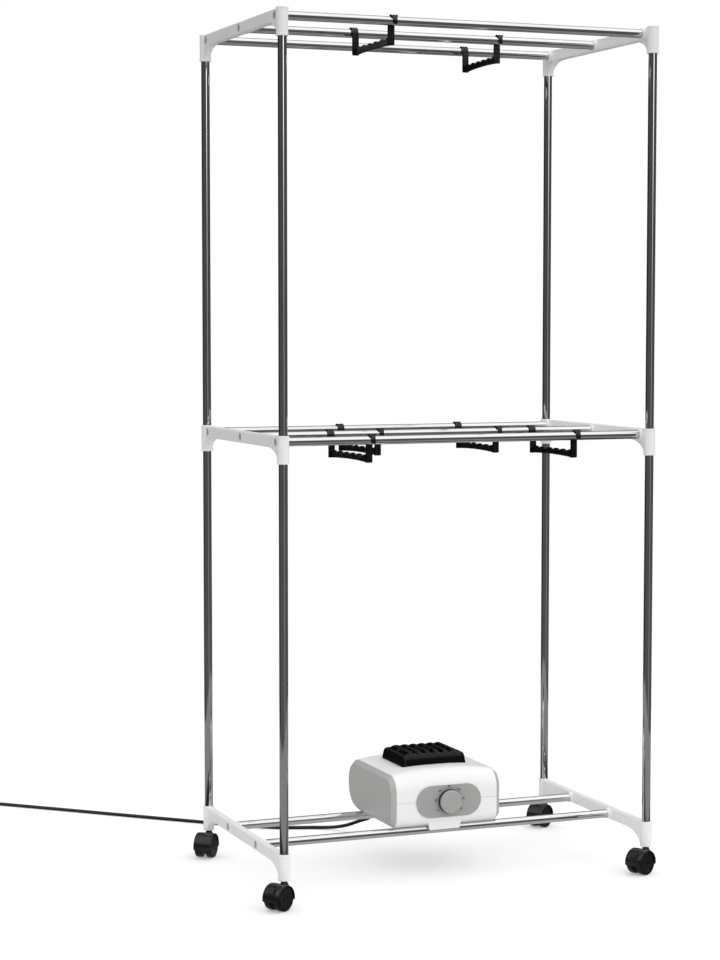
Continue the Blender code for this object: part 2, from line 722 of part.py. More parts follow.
def hanger_mesh():
    reach = OUTER_RAIL_Y / 2
    hooks = []
    for turn in (0, math.pi):
        hooks.append(placed(hook_solid(reach), Matrix.Rotation(turn, 4, "Z")))
    inside = reach - TUBE_RADIUS - HOOK_GAP - ARM_THICKNESS / 2
    bar = prism(bar_outline(inside), -BAR_WIDTH / 2, BAR_WIDTH / 2)
    return carved(bar, *(("UNION", hook) for hook in hooks))


def make_hangers(stand):
    mesh = hanger_mesh()
    for name, tier, pair, x, skew in HANGERS:
        y = OUTER_RAIL_Y / 2 if pair == "rear" else -OUTER_RAIL_Y / 2
        piece(name, mesh, "black_plastic", stand, (x, y, RAIL_LEVELS[tier]), (0, 0, skew))


# Heater casing: solids in the heater's frame, its X from the casing's middle, Y and Z as the stand's

def casing_outline(inset, crown):
    """The casing's section as (y, z) points: its top lifted by the crown, its walls in by the inset."""
    outer_radii = (BOTTOM_FRONT_RADIUS, BOTTOM_BACK_RADIUS, TOP_BACK_RADIUS, TOP_FRONT_RADIUS)
    radii = [radius - inset for radius in outer_radii]
    low = (-SHELL_FRONT + inset, SHELL_BOTTOM + inset)
    high = (SHELL_BACK - inset, SHELL_SHOULDER + crown - inset)
    return rounded_outline(low, high, radii, CORNER_STEPS)


def casing_loft(inset, half):
    last = len(CROWN_SHARES) - 1
    loops = []
    for index, share in enumerate(CROWN_SHARES):
        x = -half + 2 * half * index / last
        loops.append([(x, y, z) for y, z in casing_outline(inset, SHELL_CROWN * share)])
    return lofted(loops)


def stadium(half_length, half_height, low, high):
    """A plate with round ends: its length along X, its thickness along Y from low to high."""
    corner = (half_length, half_height)
    outline = rounded_outline((-half_length, -half_height), corner, [half_height] * 4, CORNER_STEPS)
    return lofted([[(x, y, z) for x, z in outline] for y in (low, high)])


def panel_cut():
    """The hole for the panel's spigot through the casing's front."""
    inset = SPIGOT_INSET - FIT_GAP
    low, high = -SHELL_FRONT - OVERRUN, OVERRUN - SHELL_FRONT
    hole = stadium(PANEL_HALF_LENGTH - inset, PANEL_HALF_HEIGHT - inset, low, high)
    return moved(hole, PANEL_X, 0, SHELL_BOTTOM + PANEL_LEVEL)


def half_space(low_z, high_z):
    reach = SHELL_HALF_LENGTH + OVERRUN
    return block((-reach, -SHELL_FRONT - OVERRUN, low_z), (reach, SHELL_BACK + OVERRUN, high_z))


def casing_hollow():
    """The room inside the casing, run out past its ends."""
    outline_pairs = []
    last = len(CROWN_SHARES) - 1
    for index, share in enumerate(CROWN_SHARES):
        x = -SHELL_HALF_LENGTH + 2 * SHELL_HALF_LENGTH * index / last
        outline_pairs.append([(x, y, z) for y, z in casing_outline(SHELL_WALL, SHELL_CROWN * share)])
    first = [(x - OVERRUN, y, z) for x, y, z in outline_pairs[0]]
    final = [(x + OVERRUN, y, z) for x, y, z in outline_pairs[-1]]
    return lofted([first] + outline_pairs + [final])


def grip_frame():
    """Where the cord grip sits: X right, Z out of the wall at the lower back corner."""
    centre = Vector((GRIP_X, SHELL_BACK - BOTTOM_BACK_RADIUS, SHELL_BOTTOM + BOTTOM_BACK_RADIUS))
    return Matrix.Translation(centre) @ Matrix.Rotation(GRIP_ANGLE - math.radians(90), 4, "X")


def lip_root(inner, edge, radius):
    """How high a lip reaches into the wall, which the casing's bottom corner lifts at the lip's inner face."""
    past = max(0, inner - (edge - radius))
    return SHELL_BOTTOM + radius - math.sqrt(radius ** 2 - past ** 2) + SHELL_WALL * LIP_ROOT_SHARE


def make_lower_shell(heater):
    inner = BASE_RAIL_SPACING / 2 + TUBE_RADIUS + FIT_GAP
    outer = inner + LIP_THICKNESS
    drop = SHELL_BOTTOM - LIP_DROP
    front_root = lip_root(inner, SHELL_FRONT, BOTTOM_FRONT_RADIUS)
    rear_root = lip_root(inner, SHELL_BACK, BOTTOM_BACK_RADIUS)
    lips = together(
        block((-LIP_HALF_WIDTH, -outer, drop), (LIP_HALF_WIDTH, -inner, front_root)),
        block((-LIP_HALF_WIDTH, inner, drop), (LIP_HALF_WIDTH, outer, rear_root)),
    )
    slots = []
    for index in range(INTAKE_SLOTS):
        x = (index - (INTAKE_SLOTS - 1) / 2) * INTAKE_PITCH
        slots.append(block((x - INTAKE_WIDTH / 2, OUTLET_Y - INTAKE_LENGTH / 2, SHELL_BOTTOM - OVERRUN),
                           (x + INTAKE_WIDTH / 2, OUTLET_Y + INTAKE_LENGTH / 2, SHELL_BOTTOM + OVERRUN)))
    inside, outside = BOTTOM_BACK_RADIUS - OVERRUN, BOTTOM_BACK_RADIUS + OVERRUN
    grip_hole = placed(rod(GRIP_RADIUS + FIT_GAP, inside, outside, GRIP_STEPS), grip_frame())
    mesh = carved(
        casing_loft(0, SHELL_HALF_LENGTH),
        ("DIFFERENCE", casing_hollow()),
        ("DIFFERENCE", half_space(PARTING_LEVEL - FIT_GAP / 2, SHELL_TOP + OVERRUN)),
        ("UNION", lips),
        ("DIFFERENCE", together(*slots)),
        ("DIFFERENCE", grip_hole),
        ("DIFFERENCE", panel_cut()),
    )
    piece("heater_lower_shell", mesh, "white_plastic", heater)


def make_upper_shell(heater):
    half_x, half_y = OPENING_LENGTH / 2, OPENING_WIDTH / 2
    low, high = SHELL_SHOULDER - OVERRUN, SHELL_TOP + OVERRUN
    opening = block((-half_x, OUTLET_Y - half_y, low), (half_x, OUTLET_Y + half_y, high))
    mesh = carved(
        casing_loft(0, SHELL_HALF_LENGTH),
        ("DIFFERENCE", casing_hollow()),
        ("DIFFERENCE", half_space(SHELL_BOTTOM - OVERRUN, PARTING_LEVEL + FIT_GAP / 2)),
        ("DIFFERENCE", opening),
        ("DIFFERENCE", panel_cut()),
    )
    piece("heater_upper_shell", mesh, "white_plastic", heater)


def cover_mesh():
    """A left side cover: a bevelled cap outwards, a rim into the casing's end; X = 0 at the casing's end."""
    rim = SHELL_WALL + FIT_GAP
    inner = rim + COVER_WALL
    shoulder = COVER_DEPTH - COVER_BEVEL
    places = (
        (-COVER_DEPTH, COVER_BEVEL + COVER_WALL),
        (-COVER_DEPTH, COVER_BEVEL),
        (-shoulder - FIT_GAP, 0),
        (-FIT_GAP, 0),
        (-FIT_GAP, rim),
        (COVER_RIM, rim),
        (COVER_RIM, inner),
        (-shoulder, inner),
        (COVER_WALL - COVER_DEPTH, COVER_BEVEL + COVER_WALL * 2),
    )
    return as_mesh(lofted([[(x, y, z) for y, z in casing_outline(inset, 0)] for x, inset in places]))


def make_side_covers(heater):
    piece("side_cover_left", cover_mesh(), "grey_plastic", heater, (-SHELL_HALF_LENGTH, 0, 0))
    mirrored = bmesh.new()
    mirrored.from_mesh(cover_mesh())
    placed(mirrored, Matrix.Diagonal((-1, 1, 1, 1)))
    bmesh.ops.recalc_face_normals(mirrored, faces=mirrored.faces)
    piece("side_cover_right", mirrored, "grey_plastic", heater, (SHELL_HALF_LENGTH, 0, 0))


# Outlet grille and what is under it

def dome_loft(inset):
    """The grille's form: an upright skirt, then a dome that closes in; the inset makes its inner form."""
    half_x, half_y = GRILLE_LENGTH / 2 - inset, GRILLE_WIDTH / 2 - inset
    rings = [(0, -OVERRUN if inset else 0)]
    for index in range(DOME_STEPS + 1):
        angle = DOME_SWEEP * index / DOME_STEPS
        rings.append((DOME_INSET * (1 - math.cos(angle)), GRILLE_SKIRT + DOME_RISE * math.sin(angle) - inset))
    loops = []
    for drawn_in, height in rings:
        low = (drawn_in - half_x, drawn_in - half_y)
        high = (half_x - drawn_in, half_y - drawn_in)
        corner = max(GRILLE_CORNER - inset, GRILLE_CORNER / 2)
        loops.append([(x, y, height) for x, y in rounded_outline(low, high, [corner] * 4, CORNER_FEW_STEPS)])
    return lofted(loops)


def make_grille(heater):
    """A domed guard with two rows of slots, set on the casing's top."""
    slots = []
    for index in range(GRILLE_SLOTS):
        x = (index - (GRILLE_SLOTS - 1) / 2) * GRILLE_SLOT_PITCH
        for sign in (-1, 1):
            near, far = sorted((sign * GRILLE_SPINE / 2, sign * (GRILLE_SPINE / 2 + GRILLE_SLOT_LENGTH)))
            slots.append(block((x - GRILLE_SLOT_WIDTH / 2, near, GRILLE_SKIRT + GRILLE_WALL),
                               (x + GRILLE_SLOT_WIDTH / 2, far, GRILLE_SKIRT + DOME_RISE + OVERRUN)))
    mesh = carved(dome_loft(0), ("DIFFERENCE", dome_loft(GRILLE_WALL)), ("DIFFERENCE", together(*slots)))
    piece("outlet_grille", mesh, "black_gloss", heater, (0, OUTLET_Y, SHELL_TOP + FIT_GAP))


def make_duct(heater):
    """A straight duct from the fan to the outlet."""
    half_x, half_y = OPENING_LENGTH / 2, OPENING_WIDTH / 2
    foot = BRACKET_TOP + FIT_GAP
    inner_x, inner_y = half_x - DUCT_WALL, half_y - DUCT_WALL
    duct = block((-half_x, -half_y, 0), (half_x, half_y, DUCT_TOP - foot))
    bore = block((-inner_x, -inner_y, -OVERRUN), (inner_x, inner_y, DUCT_TOP))
    piece("air_duct", carved(duct, ("DIFFERENCE", bore)), "inner_plastic", heater, (0, OUTLET_Y, foot))


def make_fan(heater):
    """Bracket on four legs, motor on its middle, impeller on the motor's shaft."""
    half_x, half_y = OPENING_LENGTH / 2, OPENING_WIDTH / 2
    thick = BRACKET_THICKNESS
    plate = block((-half_x, -half_y, 0), (half_x, half_y, thick))
    hole = block((BRACKET_FRAME - half_x, BRACKET_FRAME - half_y, -OVERRUN),
                 (half_x - BRACKET_FRAME, half_y - BRACKET_FRAME, OVERRUN))
    arm = BRACKET_ARM / 2
    end_x, end_y = half_x - BRACKET_FRAME / 2, half_y - BRACKET_FRAME / 2
    low, high = ARM_INSET, thick - ARM_INSET
    across = block((-end_x, -arm, low), (end_x, arm, high))
    along = block((-arm, -end_y, low), (arm, end_y, high))
    disc = rod(MOTOR_RADIUS, 0, thick, TUBE_STEPS)
    legs = []
    for x in (-half_x, half_x - LEG_SIZE):
        for y in (-half_y, half_y - LEG_SIZE):
            legs.append(block((x + LEG_INSET, y + LEG_INSET, FIT_GAP - DUCT_FOOT),
                              (x + LEG_SIZE, y + LEG_SIZE, thick / 2)))
    added = [("UNION", solid) for solid in (across, along, disc, together(*legs))]
    bracket = carved(plate, ("DIFFERENCE", hole), *added)
    piece("motor_bracket", bracket, "inner_plastic", heater, (0, OUTLET_Y, BRACKET_LEVEL))
    shaft_end = MOTOR_HEIGHT + SHAFT_LENGTH
    motor = turned([
        (0, 0), (MOTOR_RADIUS, 0), (MOTOR_RADIUS, MOTOR_HEIGHT),
        (SHAFT_RADIUS, MOTOR_HEIGHT), (SHAFT_RADIUS, shaft_end), (0, shaft_end),
    ], TUBE_STEPS)
    piece("fan_motor", motor, "zinc_steel", heater, (0, OUTLET_Y, BRACKET_TOP + FIT_GAP))
    hub = rod(HUB_RADIUS, 0, HUB_HEIGHT, TUBE_STEPS)
    blades = []
    for index in range(BLADE_COUNT):
        blade = block((HUB_RADIUS / 2, -BLADE_CHORD / 2, -BLADE_THICKNESS / 2),
                      (BLADE_RADIUS, BLADE_CHORD / 2, BLADE_THICKNESS / 2))
        placed(blade, Matrix.Rotation(BLADE_PITCH, 4, "X"))
        moved(blade, 0, 0, HUB_HEIGHT / 2)
        blades.append(("UNION", placed(blade, Matrix.Rotation(math.tau * index / BLADE_COUNT, 4, "Z"))))
    bore = rod(SHAFT_RADIUS + FIT_GAP, -OVERRUN, SHAFT_LENGTH - HUB_LIFT + FIT_GAP, TUBE_STEPS)
    impeller = carved(hub, *blades, ("DIFFERENCE", bore))
    piece("fan_impeller", impeller, "inner_plastic", heater, (0, OUTLET_Y, MOTOR_TOP + HUB_LIFT))


def make_element(heater):
    """A finned ceramic heater that spans the duct."""
    half_x = OPENING_LENGTH / 2 - DUCT_WALL - FIT_GAP
    half_y = ELEMENT_WIDTH / 2
    core = block((-half_x, -half_y, 0), (half_x, half_y, ELEMENT_HEIGHT))
    pitch = (half_x - ELEMENT_EDGE) * 2 / ELEMENT_FINS
    inner_y = half_y - ELEMENT_EDGE
    gaps = []
    for index in range(ELEMENT_FINS):
        x = ELEMENT_EDGE - half_x + pitch * (index + 0.5)
        left, right = x - FIN_GAP / 2, x + FIN_GAP / 2
        gaps.append(block((left, -inner_y, -OVERRUN), (right, inner_y, ELEMENT_HEIGHT + OVERRUN)))
    element = carved(core, ("DIFFERENCE", together(*gaps)))
    piece("heating_element", element, "element_metal", heater, (0, OUTLET_Y, ELEMENT_LEVEL))
    cutout = laid_along_y(rod(CUTOUT_RADIUS, 0, CUTOUT_LENGTH, TUBE_STEPS))
    back = OUTLET_Y + OPENING_WIDTH / 2 + FIT_GAP
    piece("thermal_cutout", cutout, "brass", heater, (0, back, ELEMENT_LEVEL + ELEMENT_HEIGHT / 2))


# Controls

def make_controls(heater):
    """Panel, knob with its spindle, and the timer that the spindle turns in."""
    level = SHELL_BOTTOM + PANEL_LEVEL
    front = -SHELL_FRONT - FIT_GAP
    plate = stadium(PANEL_HALF_LENGTH, PANEL_HALF_HEIGHT, -PANEL_THICKNESS, 0)
    spigot = stadium(PANEL_HALF_LENGTH - SPIGOT_INSET, PANEL_HALF_HEIGHT - SPIGOT_INSET,
                     -PANEL_THICKNESS / 2, SHELL_WALL + FIT_GAP)
    hole = laid_along_y(rod(SPINDLE_RADIUS + SWIVEL_GAP, -OVERRUN, OVERRUN, TUBE_STEPS))
    piece("control_panel", carved(plate, ("UNION", spigot), ("DIFFERENCE", hole)), "grey_plastic", heater,
          (PANEL_X, front, level))
    face = PANEL_THICKNESS + FIT_GAP
    behind = SHELL_WALL + FIT_GAP * 2
    knob = turned([
        (0, -behind - SPINDLE_LENGTH), (SPINDLE_RADIUS, -behind - SPINDLE_LENGTH), (SPINDLE_RADIUS, face),
        (KNOB_RADIUS, face), (KNOB_RADIUS - KNOB_EDGE, face + KNOB_HEIGHT - KNOB_EDGE),
        (KNOB_RADIUS - KNOB_EDGE * 2, face + KNOB_HEIGHT), (0, face + KNOB_HEIGHT),
    ], KNOB_STEPS)
    placed(knob, Matrix.Rotation(math.radians(90), 4, "X"))
    piece("timer_knob", knob, "grey_plastic", heater, (PANEL_X, front, level))
    half = TIMER_SIZE / 2
    timer = block((-half, behind, -half), (half, behind + TIMER_DEPTH, half))
    bore = laid_along_y(rod(SPINDLE_RADIUS + SWIVEL_GAP, 0, behind + SPINDLE_LENGTH + FIT_GAP, TUBE_STEPS))
    piece("timer_body", carved(timer, ("DIFFERENCE", bore)), "inner_plastic", heater, (PANEL_X, front, level))


# Cord

def cord_exit(heater_x):
    """The grip's tip and the way that the cord leaves it, in the stand's frame."""
    frame = Matrix.Translation((heater_x, 0, 0)) @ grip_frame()
    tip = BOTTOM_BACK_RADIUS + GRIP_COLLAR + GRIP_TAPER + FIT_GAP
    return frame @ Vector((0, 0, tip)), (frame.to_3x3() @ Vector((0, 0, 1))).normalized()


def make_grip(heater):
    start = BOTTOM_BACK_RADIUS - GRIP_INNER
    shoulder = BOTTOM_BACK_RADIUS + GRIP_COLLAR
    grip = turned([(0, start), (GRIP_RADIUS, start), (GRIP_RADIUS, shoulder),
                   (GRIP_TIP_RADIUS, shoulder + GRIP_TAPER), (0, shoulder + GRIP_TAPER)], GRIP_STEPS)
    piece("cord_grip", placed(grip, grip_frame()), "cord_black", heater)


def smooth_route(route, leaving, arriving, count):
    """Points at even steps on a smooth curve through the route's points, which keeps both end directions."""
    dense = []
    first_reach = (route[1] - route[0]).length * 2
    last_reach = (route[-1] - route[-2]).length * 2
    padded = [route[1] - leaving * first_reach, *route, route[-2] + arriving * last_reach]
    for p0, p1, p2, p3 in zip(padded, padded[1:], padded[2:], padded[3:]):
        for index in range(ROUTE_FINE_STEPS):
            t = index / ROUTE_FINE_STEPS
            dense.append(((p1 * 2) + (p2 - p0) * t + (p0 * 2 - p1 * 5 + p2 * 4 - p3) * t ** 2
                          + (p1 * 3 - p0 - p2 * 3 + p3) * t ** 3) / 2)
    dense.append(route[-1])
    lengths = [0]
    for a, b in zip(dense, dense[1:]):
        lengths.append(lengths[-1] + (b - a).length)
    points = []
    place = 0
    for index in range(count):
        target = lengths[-1] * index / (count - 1)
        while place < len(dense) - 2 and lengths[place + 1] < target:
            place += 1
        share = (target - lengths[place]) / (lengths[place + 1] - lengths[place])
        points.append(dense[place].lerp(dense[place + 1], share))
    return points


def cord_tube(name, points, sides_level, parent):
    """A round tube through the points, its ends filled."""
    curve = bpy.data.curves.new(name, "CURVE")
    curve.dimensions = "3D"
    spline = curve.splines.new("POLY")
    spline.points.add(len(points) - 1)
    for place, point in zip(spline.points, points):
        place.co = (*point, 1)
    curve.bevel_depth = CORD_RADIUS
    curve.bevel_resolution = sides_level
    curve.use_fill_caps = True
    curve.materials.append(finish_of("cord_black"))
    tube = bpy.data.objects.new(name, curve)
    bpy.context.collection.objects.link(tube)
    tube.parent = parent
    return tube


def coil_points(start, heading):
    """The coil's middle line: in along the floor, a climb at the inner turn, and out again on top."""
    side = Vector((-heading.y, heading.x, 0))
    straight = CORD_RADIUS * 2
    entry = start + heading * straight
    middle = entry + side * COIL_OUTER_RADIUS
    first_angle = math.atan2(-side.y, -side.x)
    step = CORD_RADIUS * 2 + COIL_SPACING
    half_turn_share = 0.5 / COIL_TURNS_EACH_WAY
    total = round(LOOP_POINTS * COIL_TURNS_EACH_WAY) * 2
    points = [start]
    for index in range(total + 1):
        progress = index / total
        turns = COIL_TURNS_EACH_WAY * 2 * progress
        inward = COIL_TURNS_EACH_WAY - abs(turns - COIL_TURNS_EACH_WAY)
        radius = COIL_OUTER_RADIUS - step * inward
        climb = min(1, max(0, (progress - 0.5) / half_turn_share + 0.5))
        eased = climb * climb * (3 - 2 * climb)
        angle = first_angle + math.tau * turns
        x = middle.x + radius * math.cos(angle)
        y = middle.y + radius * math.sin(angle)
        points.append(Vector((x, y, CORD_LEVEL + step * eased)))
    leaving = (points[-1] - points[-2]).normalized()
    points.append(points[-1] + leaving * COIL_LEAD)
    return points


def least_gap(points):
    """The least clear distance between stretches of the coil that aren't neighbours."""
    skip = LOOP_POINTS // 3
    nearest = min((a - b).length for index, a in enumerate(points) for b in points[index + skip:])
    return nearest - CORD_RADIUS * 2


def line_length(points):
    return sum((b - a).length for a, b in zip(points, points[1:]))


def make_cord(stand):
    straight = CORD_RADIUS * 2
    exit_point, leaving = cord_exit(HEATER_X)
    floor_route = [Vector(point) for point in CORD_ROUTE]
    heading = (floor_route[-1] - floor_route[-2]).normalized()
    free = smooth_route([exit_point + leaving * straight, *floor_route], leaving, heading, CORD_POINTS)
    run = [exit_point, *free, floor_route[-1] + heading * straight]
    cord_tube("mains_cord_run", run, 2, stand)
    coil = coil_points(run[-1] + heading * FIT_GAP, heading)
    cord_tube("mains_cord_coil", coil, 1, stand)
    print("coil gap", round(least_gap(coil), 5))
    print("cord length", round(line_length(run) + line_length(coil), 3))
    make_plug(stand, coil[-1], coil[-1] - coil[-2])


def make_plug(stand, end, direction):
    """A two-pin plug that lies on the floor at the coil's end, its tail to the cord."""
    half = PLUG_WIDTH / 2
    height = end.z - FIT_GAP
    face = PLUG_TAIL + PLUG_LENGTH
    sections = (
        (0, GRIP_TIP_RADIUS, GRIP_TIP_RADIUS),
        (PLUG_TAIL, GRIP_RADIUS, GRIP_RADIUS),
        (PLUG_TAIL, half - PLUG_BEVEL, height - PLUG_BEVEL / 2),
        (PLUG_TAIL + PLUG_BEVEL, half, height),
        (face, half, height),
    )
    body = []
    for x, wide, high in sections:
        radius = min(wide, high) * PLUG_CORNER_SHARE
        outline = rounded_outline((-wide, -high), (wide, high), [radius] * 4, CORNER_FEW_STEPS)
        body.append([(x, y, z) for y, z in outline])
    pins = []
    for y in (-PIN_SPACING / 2, PIN_SPACING / 2):
        pin = rod(PIN_RADIUS, face - PLUG_BEVEL, face + PIN_LENGTH, STEM_STEPS)
        pins.append(moved(laid_along_x(pin), 0, y, 0))
    turn = math.atan2(direction.y, direction.x)
    flat = Vector((direction.x, direction.y, 0)).normalized()
    place = end + flat * FIT_GAP
    plug = carved(lofted(body), ("UNION", together(*pins)))
    piece("mains_plug", plug, "black_plastic", stand, place, (0, 0, turn))


def centre_outline(stand):
    """Puts the origin under the middle of the stand's outline, the cord left out."""
    bpy.context.view_layer.update()
    corners = []
    for part in bpy.data.objects:
        if part.type == "MESH" and not part.name.startswith("mains_"):
            corners += [part.matrix_world @ vertex.co for vertex in part.data.vertices]
    middle_x = (min(c.x for c in corners) + max(c.x for c in corners)) / 2
    middle_y = (min(c.y for c in corners) + max(c.y for c in corners)) / 2
    stand.location = (-middle_x, -middle_y, 0)
    bpy.context.view_layer.update()


def main():
    clear_scene()
    stand = guide("stand", None)
    make_posts(stand)
    make_rails(stand)
    make_frames(stand)
    make_castors(stand)
    make_hangers(stand)
    heater = guide("heater", stand, (HEATER_X, 0, 0))
    make_lower_shell(heater)
    make_upper_shell(heater)
    make_side_covers(heater)
    make_grille(heater)
    make_duct(heater)
    make_fan(heater)
    make_element(heater)
    make_controls(heater)
    make_grip(heater)
    make_cord(stand)
    centre_outline(stand)


main()
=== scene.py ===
"""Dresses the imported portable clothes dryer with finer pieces, finishes, a pale floor and a camera.

Metres, +Z up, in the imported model's own frame: +X runs along the rails to the right, +Y to the back.
"""
import math

import bmesh
import bpy
from mathutils import Matrix, Vector


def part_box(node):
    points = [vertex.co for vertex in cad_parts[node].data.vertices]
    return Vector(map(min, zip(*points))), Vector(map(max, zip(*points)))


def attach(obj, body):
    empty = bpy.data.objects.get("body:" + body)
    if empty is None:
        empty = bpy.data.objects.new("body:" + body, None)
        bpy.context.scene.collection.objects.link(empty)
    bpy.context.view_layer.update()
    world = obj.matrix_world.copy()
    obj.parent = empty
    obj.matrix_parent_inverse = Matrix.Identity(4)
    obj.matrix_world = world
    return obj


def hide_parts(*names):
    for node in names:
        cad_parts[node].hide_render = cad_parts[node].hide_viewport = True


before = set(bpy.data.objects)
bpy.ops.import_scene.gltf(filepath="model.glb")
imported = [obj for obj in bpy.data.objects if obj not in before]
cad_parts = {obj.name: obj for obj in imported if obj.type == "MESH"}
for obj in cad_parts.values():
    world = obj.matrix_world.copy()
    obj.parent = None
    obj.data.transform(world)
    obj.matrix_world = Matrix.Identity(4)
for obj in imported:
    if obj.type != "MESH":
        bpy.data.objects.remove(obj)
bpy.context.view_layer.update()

bl_info = {
    "name": "Portable clothes dryer",
    "version": (1, 0, 0),
    "blender": (4, 5, 0),
    "location": "View3D > Sidebar > Dryer",
    "description": "Builds an airing rack on castors with its warm-air heater, piece by piece",
    "category": "Add Mesh",
}

FIT_GAP = 0.0003
MERGE_DISTANCE = 0.000001
SMOOTH_ANGLE = math.radians(35)

SIDES = {"left": -1, "right": 1}
ROWS = {"front": -1, "rear": 1}

# Stand, in its own frame: X = Y = 0 half way between its four posts
POST_INSERT = 0.0235
RAIL_INSERT = 0.013
SLEEVE_LEVELS = {"base": 0.048, "middle": 0.793, "top": 1.538}
SLEEVE_HEIGHT = 0.050
RAIL_RISE = 0.038
BEAM_DROP = 0.001
BEAM_HEIGHT = 0.022
BEAM_HALF = 0.00675
RECESS_DEPTH = 0.0013
COLLAR_LENGTH = 0.006
RAIL_PLACES = {
    "base": {"front": -0.0807, "rear": 0.0807},
    "middle": {"front": -0.1959, "centre": 0.0, "rear": 0.1959},
    "top": {"front": -0.1959, "centre": 0.0, "rear": 0.1959},
}

# Castors, in each one's own frame: X away from the stem, Y along the axle
CASTOR_TURNS = {"front_left": 212, "front_right": 204, "rear_left": 232, "rear_right": 213}
BRAKED_CASTORS = ("front_left", "front_right")
AXLE_TRAIL = 0.016
WHEEL_RADIUS = 0.0225
WHEEL_WIDTH = 0.0126
WEB_HALF = 0.0042
WHEEL_INNER_FACE = 0.0049
LEVER_RAY = math.radians(38)
HOOD_HOLE_RAY = math.radians(66)
LEVER_PIVOT_REACH = 0.0178

# Hangers: tier, side of the centre rail, place along the rails, skew in degrees
HANGERS = {
    "hanger_top_front": ("top", -1, -0.146, 0),
    "hanger_top_rear": ("top", 1, 0.159, -4),
    "hanger_middle_front_left": ("middle", -1, -0.191, 2),
    "hanger_middle_rear_left": ("middle", 1, -0.095, 2),
    "hanger_middle_rear_right": ("middle", 1, 0.154, 0),
    "hanger_middle_front_right": ("middle", -1, 0.223, 0),
}
ARM_DROP = 0.0415

# Heater, its X from the casing's middle
HEATER_X = 0.006
SHELL_HALF = 0.103
SHELL_WALL = 0.0025
SHELL_FRONT = 0.097
SHELL_BACK = 0.136
SHELL_BOTTOM = 0.0943
SHELL_SHOULDER = 0.1923
SHELL_CROWN = 0.008
PARTING_LEVEL = 0.1423
SHELL_RADII = (0.020, 0.048, 0.042, 0.032)
OUTLET_Y = 0.0165
GRILLE_HALF_X = 0.065
GRILLE_HALF_Y = 0.0525
GRILLE_SKIRT = 0.0095
DOME_RISE = 0.0164
DOME_INSET = 0.030
GRILLE_CORNER = 0.006
SLOT_PITCH = 0.0178
SLOT_HALF_WIDTH = 0.00375
SLOT_NEAR = 0.004
SLOT_FAR = 0.044
PANEL_X = 0.003
PANEL_LEVEL = 0.1413
PANEL_HALF_X = 0.066
PANEL_HALF_Z = 0.0305
DIAL_NUMBERS = 7
DIAL_STEP = 42
DIAL_MINUTES = 30
KNOB_GROOVES = 36

# Cord: its free route from the grip to the coil, in the stand's frame
CORD_ROUTE = (
    (-0.0195, 0.1860, 0.0820), (-0.0190, 0.2090, 0.0615), (-0.0215, 0.2304, 0.0440),
    (-0.0244, 0.2582, 0.0340), (-0.0296, 0.2805, 0.0255), (-0.0359, 0.2996, 0.0175),
    (-0.0429, 0.3176, 0.0110), (-0.0579, 0.3337, 0.0062), (-0.0741, 0.3466, 0.0041),
    (-0.0977, 0.3579, 0.0038), (-0.1227, 0.3663, 0.0038), (-0.1660, 0.3850, 0.0038),
    (-0.2160, 0.4200, 0.0038), (-0.2630, 0.4620, 0.0038), (-0.3315, 0.5257, 0.0038),
    (-0.4187, 0.6068, 0.0038), (-0.5370, 0.7188, 0.0038), (-0.6288, 0.8047, 0.0038),
    (-0.6680, 0.8420, 0.0038), (-0.6920, 0.8650, 0.0038),
)
GRIP_X = -0.026
GRIP_ANGLE = math.radians(-29)
GRIP_TIP = 0.0783
COIL_TURNS_EACH_WAY = 1.5
COIL_OUTER_RADIUS = 0.0435
COIL_SPACING = 0.0006
COIL_LEAD = 0.028
LOOP_POINTS = 36
ROUTE_POINTS = 90

# Floor: metal sees it fall off to grey away from a line under the rails
FLOOR_RADIUS = 1.9
FLOOR_LINE_HALF = 0.36


# Settings

def length(name, description, default):
    return bpy.props.FloatProperty(name=name, description=description, default=default, min=0, unit="LENGTH",
                                   precision=4)


def colour(name, description, default):
    return bpy.props.FloatVectorProperty(name=name, description=description, default=default, size=3, min=0, max=1,
                                         subtype="COLOR")


def share(name, description, default, top=1):
    return bpy.props.FloatProperty(name=name, description=description, default=default, min=0, max=top,
                                   subtype="FACTOR")


class StandSizes(bpy.types.PropertyGroup):
    post_span_x: length("Post spacing, length", "Between the left and right posts' middles", 0.728)
    post_span_y: length("Post spacing, depth", "Between the front and rear posts' middles", 0.437)
    tube_radius: length("Tube radius", "Outer radius of the posts and the rails", 0.008)
    tube_wall: length("Tube wall", "Thickness of the steel", 0.0008)
    tube_steps: bpy.props.IntProperty(name="Tube sides", description="Sides of each round tube", default=48, min=12)


class HeaterSizes(bpy.types.PropertyGroup):
    seam: length("Seam edge", "Rounding of the two shells where they meet", 0.0006)
    rib_rise: length("Rib height", "How far the outlet's ribs stand above its slots", 0.0014)
    knob_radius: length("Knob radius", "Outer radius of the timer knob", 0.023)
    number_height: length("Number height", "Height of the timer's numbers", 0.0042)


class CordSizes(bpy.types.PropertyGroup):
    radius: length("Cord radius", "Outer radius of the mains cord", 0.0035)


class Finishes(bpy.types.PropertyGroup):
    chrome: colour("Chrome", "Plated posts and rails", (0.72, 0.73, 0.74))
    white: colour("White plastic", "End frames and heater shells", (0.93, 0.93, 0.92))
    # The same grey colours the discs of painted shade in the rail recesses.
    grey: colour("Grey plastic", "Panel and knob", (0.39, 0.385, 0.377))
    cover: colour("Cover grey", "Side covers of the heater", (0.50, 0.495, 0.485))
    black: colour("Black plastic", "Hangers, castors and plug", (0.006, 0.006, 0.0065))
    gloss: colour("Gloss black", "Outlet grille", (0.004, 0.004, 0.0045))
    sheath: colour("Cord sheath", "Mains cord and its grip", (0.016, 0.016, 0.017))
    # This ink also gives the knob's band its painted shade.
    ink: colour("Dial ink", "Numbers and marks round the knob", (0.025, 0.025, 0.026))


